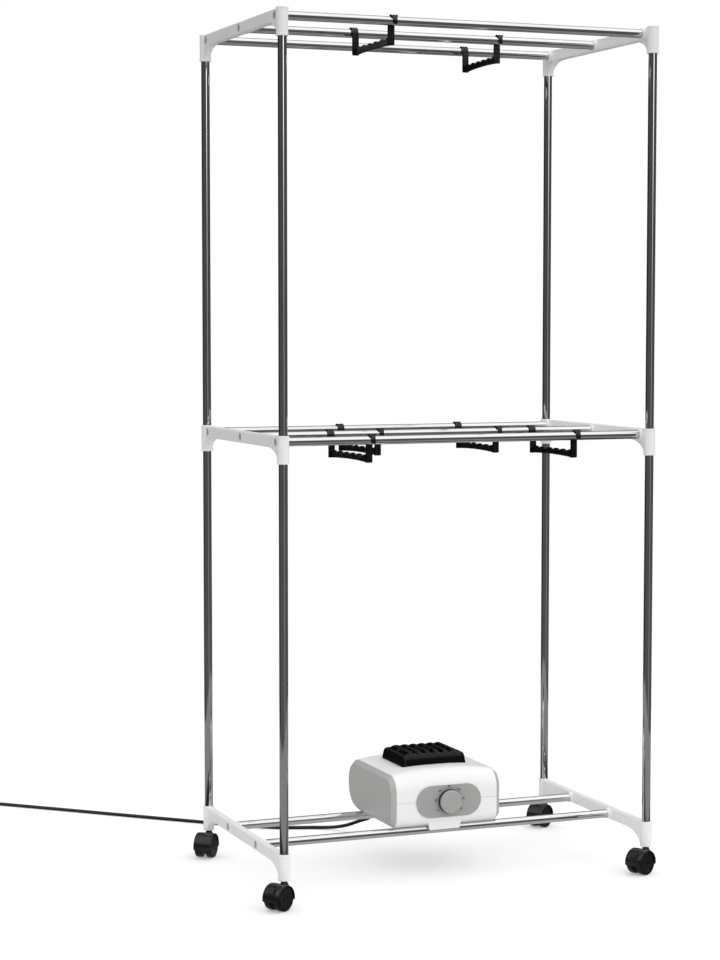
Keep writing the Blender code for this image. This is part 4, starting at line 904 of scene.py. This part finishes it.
def bar_outline(half):
    """The bar from arm to arm: a shallow arch below, six round bumps above."""
    bottom = -ARM_DROP
    valley = bottom + 0.0105
    outline = [(half * (index / 8 - 1), bottom + 0.0025 * (1 - (index / 8 - 1) ** 2)) for index in range(17)]
    total = 72
    for index in range(total + 1):
        along = 1 - index / total
        wave = abs(math.sin(math.pi * along * 6))
        outline.append((half * (2 * along - 1), valley + 0.0045 * wave ** 0.75))
    return outline


def hanger(reach):
    hooks = [turned(hook_solid(reach), turn, "Z") for turn in (0, 180)]
    inside = reach - 0.009 - 0.00225
    bar = prism(bar_outline(inside), -0.0019, 0.0019, 0.0005)
    flange_line = [(y, -ARM_DROP + 0.0025 * (1 - (y / inside) ** 2)) for y in
                   [inside * (index / 12 - 1) for index in range(25)]]
    flange = flange_line + [(y, z + 0.0018) for y, z in reversed(flange_line)]
    return together(bar, prism(flange, -0.0028, 0.0028, 0.0004), *hooks)


class DRYER_OT_hangers(bpy.types.Operator):
    """Makes the six black hangers: a notched bar between two ribbed hooks"""
    bl_idname = "dryer.hangers"
    bl_label = "Hangers"

    def execute(self, context):
        reach = RAIL_PLACES["top"]["rear"] / 2
        for name, (tier, sign, x, skew) in HANGERS.items():
            place = stand_frame() @ Matrix.Translation((x, sign * reach, SLEEVE_LEVELS[tier] + RAIL_RISE))
            place = place @ Matrix.Rotation(math.radians(skew), 4, "Z")
            piece(f"{name}_bar", placed(hanger(reach), place), "black_plastic", name, [name])
        return {"FINISHED"}


# Heater

def crown_share(x):
    """How far the casing's top is raised at a place along it, from 0 at its ends to 1."""
    return 1 - min(1, abs(x) / SHELL_HALF) ** 2.9


def casing_outline(inset, crown, steps=14):
    """The casing's section as (y, z) points: its top lifted by the crown, its walls in by the inset."""
    radii = [max(0.002, radius - inset) for radius in SHELL_RADII]
    low = (-SHELL_FRONT + inset, SHELL_BOTTOM + inset)
    high = (SHELL_BACK - inset, SHELL_SHOULDER + crown - inset)
    return rounded_outline(low, high, radii, steps)


def casing_skin():
    """The casing's outer skin, open at both ends."""
    count = 28
    rings = []
    for index in range(count + 1):
        x = SHELL_HALF * (2 * index / count - 1)
        rings.append([(x, y, z) for y, z in casing_outline(0, SHELL_CROWN * crown_share(x))])
    skin = lofted(rings)
    ends = [face for face in skin.faces if abs(face.normal.x) > 0.99]
    bmesh.ops.delete(skin, geom=ends, context="FACES_ONLY")
    return skin


def kept_side(skin, level, keep_above):
    """Cuts the skin through at a level and keeps one side."""
    bmesh.ops.bisect_plane(skin, geom=skin.verts[:] + skin.edges[:] + skin.faces[:], plane_co=(0, 0, level),
                           plane_no=(0, 0, 1), clear_inner=keep_above, clear_outer=not keep_above)
    return skin


def open_window(skin, low, high, facing):
    """Cuts a rectangular window through the faces that look up (1) or down (-1)."""
    for axis in (0, 1):
        for value in (low[axis], high[axis]):
            normal = (1, 0, 0) if axis == 0 else (0, 1, 0)
            point = tuple(value * part for part in normal)
            faces = [face for face in skin.faces if face.normal.z * facing > 0.9]
            around = {item for face in faces for item in (*face.verts, *face.edges)}
            bmesh.ops.bisect_plane(skin, geom=[*around, *faces], plane_co=point, plane_no=normal)
    gone = []
    for face in skin.faces:
        middle = face.calc_center_median()
        inside = low[0] < middle.x < high[0] and low[1] < middle.y < high[1]
        if inside and face.normal.z * facing > 0.9:
            gone.append(face)
    bmesh.ops.delete(skin, geom=gone, context="FACES")


def walled(skin, wall, edge, steps=2):
    """Gives a skin its wall, inwards, and rounds the rims of its openings."""
    bmesh.ops.recalc_face_normals(skin, faces=skin.faces)
    bmesh.ops.solidify(skin, geom=skin.faces[:], thickness=wall)
    rims = [rim for rim in skin.edges if len(rim.link_faces) == 2 and rim.calc_face_angle(0) > math.radians(60)]
    return rounded(skin, rims, edge, steps) if edge else skin


def rail_lips(tube_radius):
    """The two lips under the casing that hold it on the base rails, the front one with sloping ends."""
    rail = RAIL_PLACES["base"]["rear"] + tube_radius + FIT_GAP
    drop = SHELL_BOTTOM - 0.0075
    top = SHELL_BOTTOM + 0.0082
    front = prism([(-rail - 0.004, drop), (-rail, drop), (-rail, top - 0.003), (-rail - 0.004, top)],
                  -0.034, 0.034, 0.0006)
    for corner in front.verts:
        if corner.co.z < SHELL_BOTTOM - 0.004:
            corner.co.x *= 0.90
    moved(front, -0.003, 0, 0)
    back = prism([(rail, drop), (rail + 0.004, drop), (rail + 0.004, SHELL_BOTTOM + 0.0012),
                  (rail, SHELL_BOTTOM + 0.0012)], -0.034, 0.034, 0.0008)
    return together(front, back)


class DRYER_OT_casing(bpy.types.Operator):
    """Makes the heater's lower and upper shells, which meet at a fine seam"""
    bl_idname = "dryer.casing"
    bl_label = "Heater shells"

    def execute(self, context):
        seam = context.scene.dryer_heater.seam
        upper = kept_side(casing_skin(), PARTING_LEVEL + FIT_GAP / 2, True)
        open_window(upper, (-0.059, OUTLET_Y - 0.0465), (0.059, OUTLET_Y + 0.0465), 1)
        piece("heater_upper_shell_moulding", placed(walled(upper, SHELL_WALL, seam), heater_frame()),
              "white_plastic", "rack", ["heater_upper_shell"])
        lower = kept_side(casing_skin(), PARTING_LEVEL - FIT_GAP / 2, False)
        for index in range(7):
            x = (index - 3) * 0.012
            open_window(lower, (x - 0.0025, OUTLET_Y - 0.035), (x + 0.0025, OUTLET_Y + 0.035), -1)
        lips = rail_lips(context.scene.dryer_stand.tube_radius)
        whole = together(walled(lower, SHELL_WALL, seam), lips)
        piece("heater_lower_shell_moulding", placed(whole, heater_frame()), "white_plastic", "rack",
              ["heater_lower_shell"])
        return {"FINISHED"}


class DRYER_OT_side_covers(bpy.types.Operator):
    """Makes the two grey side covers with their bevelled margin and slightly sunk face"""
    bl_idname = "dryer.side_covers"
    bl_label = "Side covers"

    def execute(self, context):
        for side, sign in SIDES.items():
            profile = eased([
                (0.006, 0.0048, 0), (0.006, 0.0028, 0), (-0.0003, 0.0028, 0), (-0.0003, 0.0004, 0.0003),
                (-0.0012, 0.0002, 0.0004), (-0.0088, 0.0076, 0.0008), (-0.0088, 0.0092, 0.0004),
                (-0.0080, 0.0098, 0.0003), (-0.0080, 0.0104, 0),
            ], 3)
            rings = [[(x, y, z) for y, z in casing_outline(inset, 0)] for x, inset in profile]
            solid = moved(lofted(rings), -SHELL_HALF, 0, 0)
            if side == "right":
                placed(solid, Matrix.Diagonal((-1, 1, 1, 1)))
                bmesh.ops.recalc_face_normals(solid, faces=solid.faces)
            name = f"side_cover_{side}"
            piece(f"{name}_moulding", placed(solid, heater_frame()), "cover_grey", "rack", [name])
        return {"FINISHED"}


def grid_lines(limit, edges, finest):
    """Rising places from -limit to limit that take in all the edges, no step longer than finest."""
    places = sorted({-limit, limit, *edges})
    lines = [places[0]]
    for low, high in zip(places, places[1:]):
        count = max(1, math.ceil((high - low) / finest))
        lines += [low + (high - low) * (index + 1) / count for index in range(count)]
    return lines


def dome_height(x, y, rib_rise):
    """The grille's height over its foot: a quarter-round edge, then flat, with ribs from front to back."""
    inward = max(0.0, min(GRILLE_HALF_X - abs(x), GRILLE_HALF_Y - abs(y)))
    turn = min(math.acos(max(0.0, 1 - inward / DOME_INSET)), math.radians(75))
    wave = 0.5 - 0.5 * math.cos(math.tau * (x / SLOT_PITCH + 0.5))
    fade = min(1.0, inward / 0.006)
    return GRILLE_SKIRT + DOME_RISE * math.sin(turn) - rib_rise * (1 - (1 - wave) ** 1.5) * fade


def grille_skin(rib_rise):
    """The domed top with two rows of slots and its skirt, which follows the casing's crown."""
    places = [(index - 3) * SLOT_PITCH for index in range(7)]
    slots = [(place - SLOT_HALF_WIDTH, place + SLOT_HALF_WIDTH) for place in places]
    columns = grid_lines(GRILLE_HALF_X, [place for slot in slots for place in slot], 0.0019)
    rows = grid_lines(GRILLE_HALF_Y, (-SLOT_FAR, -SLOT_NEAR, SLOT_NEAR, SLOT_FAR), 0.0024)
    skin = bmesh.new()
    bmesh.ops.create_grid(skin, x_segments=len(columns) - 1, y_segments=len(rows) - 1, size=1)
    for corner in skin.verts:
        x = columns[round((corner.co.x + 1) / 2 * (len(columns) - 1))]
        y = rows[round((corner.co.y + 1) / 2 * (len(rows) - 1))]
        height = dome_height(x, y, rib_rise)
        over_x = abs(x) - (GRILLE_HALF_X - GRILLE_CORNER)
        over_y = abs(y) - (GRILLE_HALF_Y - GRILLE_CORNER)
        if over_x > 0 and over_y > 0:
            shrink = max(over_x, over_y) / math.hypot(over_x, over_y)
            x = math.copysign(GRILLE_HALF_X - GRILLE_CORNER + over_x * shrink, x)
            y = math.copysign(GRILLE_HALF_Y - GRILLE_CORNER + over_y * shrink, y)
        corner.co = (x, y, height)
    gone = []
    for face in skin.faces:
        middle = face.calc_center_median()
        if SLOT_NEAR < abs(middle.y) < SLOT_FAR and any(low < middle.x < high for low, high in slots):
            gone.append(face)
    rim = [edge for edge in skin.edges if edge.is_boundary]
    bmesh.ops.delete(skin, geom=gone, context="FACES")
    grown = bmesh.ops.extrude_edge_only(skin, edges=rim)
    for item in grown["geom"]:
        if isinstance(item, bmesh.types.BMVert):
            item.co.z = SHELL_CROWN * (crown_share(item.co.x) - 1)
            item.co.x *= 1.024
            item.co.y *= 1.026
    return skin


class DRYER_OT_grille(bpy.types.Operator):
    """Makes the domed black outlet grille with its ribs and slots"""
    bl_idname = "dryer.grille"
    bl_label = "Outlet grille"

    def execute(self, context):
        skin = walled(grille_skin(context.scene.dryer_heater.rib_rise), 0.0022, 0.0003, 1)
        moved(skin, 0, OUTLET_Y, SHELL_SHOULDER + SHELL_CROWN + FIT_GAP)
        piece("outlet_grille_moulding", placed(skin, heater_frame()), "black_gloss", "rack", ["outlet_grille"])
        return {"FINISHED"}


def stadium(half_x, half_z, rings):
    """A plate with round ends, its rings given as (y, inset) from front to back."""
    loops = []
    for y, inset in rings:
        low, high = (inset - half_x, inset - half_z), (half_x - inset, half_z - inset)
        outline = rounded_outline(low, high, [half_z - inset] * 4, 20)
        loops.append([(x, y, z) for x, z in outline])
    return lofted(loops)


def dial_angle(index):
    """Degrees clockwise from the top for the number of that index, the first one being 0."""
    return DIAL_STEP * (index - (DIAL_NUMBERS - 1) / 2)


def printed_number(text, height, angle, radius):
    """A printed number that stands upright at its place round the knob."""
    curve = bpy.data.curves.new("number", "FONT")
    curve.body = text
    curve.size = height * 1.38
    curve.align_x = "CENTER"
    curve.align_y = "CENTER"
    curve.extrude = 0.00004
    curve.offset = height * 0.03
    carrier = bpy.data.objects.new("number", curve)
    bpy.context.collection.objects.link(carrier)
    shape = carrier.evaluated_get(bpy.context.evaluated_depsgraph_get())
    solid = bmesh.new()
    solid.from_mesh(shape.to_mesh())
    shape.to_mesh_clear()
    bpy.data.objects.remove(carrier, do_unlink=True)
    bmesh.ops.remove_doubles(solid, verts=solid.verts, dist=MERGE_DISTANCE)
    return moved(turned(solid, 90, "X"), radius * math.sin(angle), 0, radius * math.cos(angle))


class DRYER_OT_controls(bpy.types.Operator):
    """Makes the oval panel, its numbers and marks, and the timer knob"""
    bl_idname = "dryer.controls"
    bl_label = "Panel and knob"

    def execute(self, context):
        sizes = context.scene.dryer_heater
        place = heater_frame() @ Matrix.Translation((PANEL_X, -SHELL_FRONT - FIT_GAP, PANEL_LEVEL))
        plate = stadium(PANEL_HALF_X, PANEL_HALF_Z, eased([
            (0, 0.003, 0), (0, 0, 0), (-0.0020, 0, 0.0006), (-0.0020, 0.003, 0)], 4))
        piece("control_panel_plate", placed(plate, place), "grey_plastic", "rack", ["control_panel"])
        marks = []
        for index in range(DIAL_NUMBERS):
            number, angle = str(index * DIAL_MINUTES), math.radians(dial_angle(index))
            marks.append(printed_number(number, sizes.number_height, angle, 0.0276))
            for between in (0.25, 0.5, 0.75) if index < DIAL_NUMBERS - 1 else ():
                tick = slab((-0.00035, -0.00004, 0.0243), (0.00035, 0.00004, 0.0260), 0.00002, 1)
                marks.append(turned(tick, dial_angle(index + between), "Y"))
        ink = moved(together(*marks), 0, -0.00204, 0)
        piece("dial_marks", placed(ink, place), "dial_ink", "rack")
        radius = sizes.knob_radius
        knob = spun(eased([
            (0, -0.0151, 0), (0.003, -0.0151, 0.0005), (0.003, 0.0023, 0), (radius - 0.0032, 0.0023, 0),
            (radius - 0.0032, 0.0038, 0), (radius - 0.0006, 0.0038, 0.0005), (radius - 0.0012, 0.0152, 0.0016),
            (radius - 0.0040, 0.0163, 0.0012), (0, 0.0160, 0),
        ]), 96)
        notch = slab((-0.0006, 0.0130, 0.0154), (0.0006, 0.0195, 0.0200), 0.0003)
        knob = turned(cut_out(knob, turned(notch, -dial_angle(0), "Z")), 90, "X")
        piece("timer_knob_cap", placed(knob, place), "grey_plastic", "timer_knob", ["timer_knob"])
        # The knob's band is painted shade: its dark ink colour stands in for the shade on the knob's flank, while
        # its grooves are modelled.
        shaded_band = spun(eased([
            (radius - 0.0010, 0.0040, 0), (radius, 0.0040, 0.0003), (radius - 0.0004, 0.0104, 0.0003),
            (radius - 0.0010, 0.0104, 0),
        ], 2, closed=True), 96, closed=True)
        grooves = []
        for index in range(KNOB_GROOVES):
            groove = slab((radius - 0.0005, -0.0004, 0.0045), (radius + 0.0010, 0.0004, 0.0100), 0.0001, 1)
            grooves.append(turned(groove, 360 * index / KNOB_GROOVES, "Z"))
        shaded_band = turned(cut_out(shaded_band, *grooves), 90, "X")
        piece("timer_knob_shaded_band", placed(shaded_band, place), "dial_ink", "timer_knob")
        return {"FINISHED"}


class DRYER_OT_grip_and_plug(bpy.types.Operator):
    """Makes the ribbed cord grip and gives the plug its finish"""
    bl_idname = "dryer.grip_and_plug"
    bl_label = "Cord grip and plug"

    def execute(self, context):
        start, shoulder = 0.0420, 0.0520
        profile = [(0, start, 0), (0.007, start, 0), (0.007, shoulder, 0.0012), (0.0064, shoulder + 0.0004, 0)]
        for index in range(6):
            low = shoulder + 0.0012 + index * 0.0038
            radius = 0.0062 - index * 0.00024
            profile += [(radius, low, 0.0003), (radius, low + 0.0024, 0.0003),
                        (radius - 0.0010, low + 0.0027, 0.0002), (radius - 0.0010, low + 0.0035, 0.0002)]
        tip = GRIP_TIP - FIT_GAP
        profile += [(0.0046, tip - 0.0012, 0.0004), (0.0046, tip, 0.0006), (0, tip, 0)]
        grip = placed(spun(eased(profile, 2), 40), heater_frame() @ grip_frame())
        piece("cord_grip_sleeve", grip, "cord_black", "rack", ["cord_grip"])
        dress("mains_plug", "black_plastic")
        return {"FINISHED"}


def dress(node, finish):
    """Gives a carried-over node its finish."""
    for material_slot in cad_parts[node].material_slots:
        material_slot.material = finish_of(finish)


class DRYER_OT_inner_parts(bpy.types.Operator):
    """Finishes the parts inside the heater: timer, fan, duct, element and cut-out"""
    bl_idname = "dryer.inner_parts"
    bl_label = "Inner parts"

    def execute(self, context):
        finishes = {
            "timer_body": "inner_plastic", "fan_motor": "zinc_steel", "motor_bracket": "inner_plastic",
            "fan_impeller": "black_plastic", "air_duct": "black_plastic", "heating_element": "element_metal",
            "thermal_cutout": "brass",
        }
        for node, finish in finishes.items():
            dress(node, finish)
        return {"FINISHED"}


# Stage

def ramp_of(tree, source, stops):
    """Brightness along a value from 0 to 1: stops are (place, level)."""
    ramp = node_of(tree, "ShaderNodeValToRGB")
    elements = ramp.color_ramp.elements
    while len(elements) < len(stops):
        elements.new(0.5)
    for element, (place, level) in zip(elements, stops):
        element.position = place
        element.color = (level, level, level, 1)
    tree.links.new(source, ramp.inputs["Fac"])
    return ramp.outputs["Color"]


def level_ramp(tree, source, stops):
    """Brightness by elevation: stops are (degrees above the horizon, level), read from the direction's height."""
    heights = [((math.sin(math.radians(degrees)) + 1) / 2, level) for degrees, level in stops]
    return ramp_of(tree, source, heights)


def maths(tree, operation, *values):
    """A sum on numbers and on what other nodes give."""
    node = node_of(tree, "ShaderNodeMath", operation=operation)
    for place, value in enumerate(values):
        if isinstance(value, (int, float)):
            node.inputs[place].default_value = value
        else:
            tree.links.new(value, node.inputs[place])
    return node.outputs[0]


def vector_maths(tree, operation, source, vector=(0, 0, 0), scale=None):
    """A sum on what another node gives and a fixed vector, or a scaling by what a third one gives."""
    node = node_of(tree, "ShaderNodeVectorMath", operation=operation)
    tree.links.new(source, node.inputs[0])
    node.inputs[1].default_value = vector
    if scale:
        tree.links.new(scale, node.inputs["Scale"])
    return node.outputs["Value" if operation in ("LENGTH", "DOT_PRODUCT") else "Vector"]


def colour_mix(tree, factor, a, b):
    node = node_of(tree, "ShaderNodeMix", data_type="RGBA")
    tree.links.new(factor, node.inputs[0])
    for place, value in ((6, a), (7, b)):
        if isinstance(value, tuple):
            node.inputs[place].default_value = value
        else:
            tree.links.new(value, node.inputs[place])
    return node.outputs[2]


def studio_world(look):
    """White to the camera and plain soft light on surfaces; metal sees a dim room with a tall lamp in front."""
    world = bpy.data.worlds.new("studio")
    bpy.context.scene.world = world
    world.use_nodes = True
    world.cycles.sampling_method = "NONE"
    tree = world.node_tree
    direction = node_of(tree, "ShaderNodeTexCoord").outputs["Generated"]
    parts = node_of(tree, "ShaderNodeSeparateXYZ")
    tree.links.new(direction, parts.inputs[0])
    across, ahead, up = (parts.outputs[axis] for axis in "XYZ")
    height = maths(tree, "MULTIPLY_ADD", up, 0.5, 0.5)
    room = level_ramp(tree, height, ((-90, 0.30), (-28, 0.06), (-15, 0.12), (-10, 0.10), (0, 0.08), (12, 0.07),
                                     (22, 0.40), (34, 1.35), (90, 1.25)))
    lamp = level_ramp(tree, height, ((-26, 0.08), (-11, 0.32), (-9, 0.30), (-4, 0.33), (0, 0.42), (3, 0.90),
                                     (6, 2.3), (15, 2.0), (55, 1.3), (75, 1.2)))
    flat_length = maths(tree, "SQRT", maths(tree, "ADD", maths(tree, "POWER", across, 2),
                                            maths(tree, "POWER", ahead, 2)))
    along = maths(tree, "ADD", maths(tree, "MULTIPLY", across, 0.139), maths(tree, "MULTIPLY", ahead, -0.990))
    lamp_edge = [math.cos(math.radians(degrees)) for degrees in (9, 5)]
    in_lamp = map_range(tree, maths(tree, "DIVIDE", along, flat_length), lamp_edge, shape="SMOOTHSTEP")
    behind = map_range(tree, ahead, (0.20, 0.55), (1, 0.22))
    seen_by_metal = colour_mix(tree, in_lamp, vector_maths(tree, "SCALE", room, scale=behind), lamp)
    even = level_ramp(tree, height, ((-90, look.plain_level * 0.25), (-10, look.plain_level * 0.40),
                                     (0, look.plain_level * 0.85), (90, look.plain_level)))
    towards_key = vector_maths(tree, "DOT_PRODUCT", direction, Vector((0.40, -0.50, 0.72)).normalized())
    tilt = maths(tree, "MULTIPLY_ADD", towards_key, look.key_share, 1 - look.key_share * 0.3)
    plain = vector_maths(tree, "SCALE", even, scale=tilt)
    rays = node_of(tree, "ShaderNodeLightPath")
    on_surfaces = colour_mix(tree, rays.outputs["Is Glossy Ray"], plain, seen_by_metal)
    final = colour_mix(tree, rays.outputs["Is Camera Ray"], on_surfaces, (1.0, 1.0, 1.0, 1.0))
    tree.links.new(final, tree.nodes["Background"].inputs["Color"])


def floor_finish(look):
    """A pale floor: it keeps shadows, is lifted to white for the camera and falls off to grey in metal."""
    material = bpy.data.materials.new("floor_finish")
    material.use_nodes = True
    tree = material.node_tree
    tree.nodes.clear()
    output = node_of(tree, "ShaderNodeOutputMaterial")
    matt = node_of(tree, "ShaderNodeBsdfDiffuse", Color=(*look.floor, 1))
    lift = node_of(tree, "ShaderNodeEmission")
    rays = node_of(tree, "ShaderNodeLightPath")
    tree.links.new(maths(tree, "MULTIPLY", rays.outputs["Is Camera Ray"], look.lift), lift.inputs["Strength"])
    lifted = node_of(tree, "ShaderNodeAddShader")
    tree.links.new(matt.outputs[0], lifted.inputs[0])
    tree.links.new(lift.outputs[0], lifted.inputs[1])
    outside = vector_maths(tree, "ABSOLUTE", node_of(tree, "ShaderNodeTexCoord").outputs["Object"])
    outside = vector_maths(tree, "SUBTRACT", outside, (FLOOR_LINE_HALF, 0, 0))
    reach = vector_maths(tree, "LENGTH", vector_maths(tree, "MAXIMUM", outside))
    fall = ramp_of(tree, maths(tree, "DIVIDE", reach, FLOOR_RADIUS),
                   ((0.10, 0.46), (0.16, 0.025), (0.29, 0.025), (0.36, 0.28)))
    dim = node_of(tree, "ShaderNodeEmission")
    tree.links.new(fall, dim.inputs["Color"])
    either = node_of(tree, "ShaderNodeMixShader")
    tree.links.new(rays.outputs["Is Glossy Ray"], either.inputs[0])
    tree.links.new(lifted.outputs[0], either.inputs[1])
    tree.links.new(dim.outputs[0], either.inputs[2])
    tree.links.new(either.outputs[0], output.inputs["Surface"])
    return material


class DRYER_OT_stage(bpy.types.Operator):
    """Makes the pale floor and the plain soft light"""
    bl_idname = "dryer.stage"
    bl_label = "Stage"

    def execute(self, context):
        look = context.scene.dryer_stage
        disc = bmesh.new()
        bmesh.ops.create_circle(disc, cap_ends=True, radius=FLOOR_RADIUS, segments=96)
        floor = bpy.data.objects.new("floor", as_mesh(disc))
        context.collection.objects.link(floor)
        floor.data.materials.append(floor_finish(look))
        studio_world(look)
        context.scene.view_settings.view_transform = "Standard"
        return {"FINISHED"}


class DRYER_PT_pieces(bpy.types.Panel):
    """The dryer's sizes, finishes and pieces"""
    bl_idname = "DRYER_PT_pieces"
    bl_label = "Portable clothes dryer"
    bl_space_type = "VIEW_3D"
    bl_region_type = "UI"
    bl_category = "Dryer"

    def draw(self, context):
        for label, settings in (("Stand", context.scene.dryer_stand), ("Heater", context.scene.dryer_heater),
                                ("Cord", context.scene.dryer_cord), ("Finishes", context.scene.dryer_finishes),
                                ("Stage", context.scene.dryer_stage)):
            box = self.layout.box()
            box.label(text=label)
            for key in settings.bl_rna.properties.keys():
                if key not in ("name", "rna_type"):
                    box.prop(settings, key)
        for operator in OPERATORS:
            self.layout.operator(operator.bl_idname)


OPERATORS = (
    DRYER_OT_camera, DRYER_OT_cord, DRYER_OT_posts, DRYER_OT_rails, DRYER_OT_end_frames, DRYER_OT_castors,
    DRYER_OT_brake_levers, DRYER_OT_hangers, DRYER_OT_casing, DRYER_OT_side_covers, DRYER_OT_grille,
    DRYER_OT_controls, DRYER_OT_grip_and_plug, DRYER_OT_inner_parts, DRYER_OT_stage,
)
SETTINGS = (
    ("dryer_stand", StandSizes), ("dryer_heater", HeaterSizes), ("dryer_cord", CordSizes),
    ("dryer_finishes", Finishes), ("dryer_stage", StageLook),
)


def register():
    for name, group in SETTINGS:
        bpy.utils.register_class(group)
        setattr(bpy.types.Scene, name, bpy.props.PointerProperty(type=group))
    for group in (*OPERATORS, DRYER_PT_pieces):
        bpy.utils.register_class(group)


def unregister():
    for group in (DRYER_PT_pieces, *reversed(OPERATORS)):
        bpy.utils.unregister_class(group)
    for name, group in reversed(SETTINGS):
        delattr(bpy.types.Scene, name)
        bpy.utils.unregister_class(group)


def main():
    register()
    for operator in OPERATORS:
        family, action = operator.bl_idname.split(".")
        getattr(getattr(bpy.ops, family), action)()


if __name__ == "__main__":
    main()
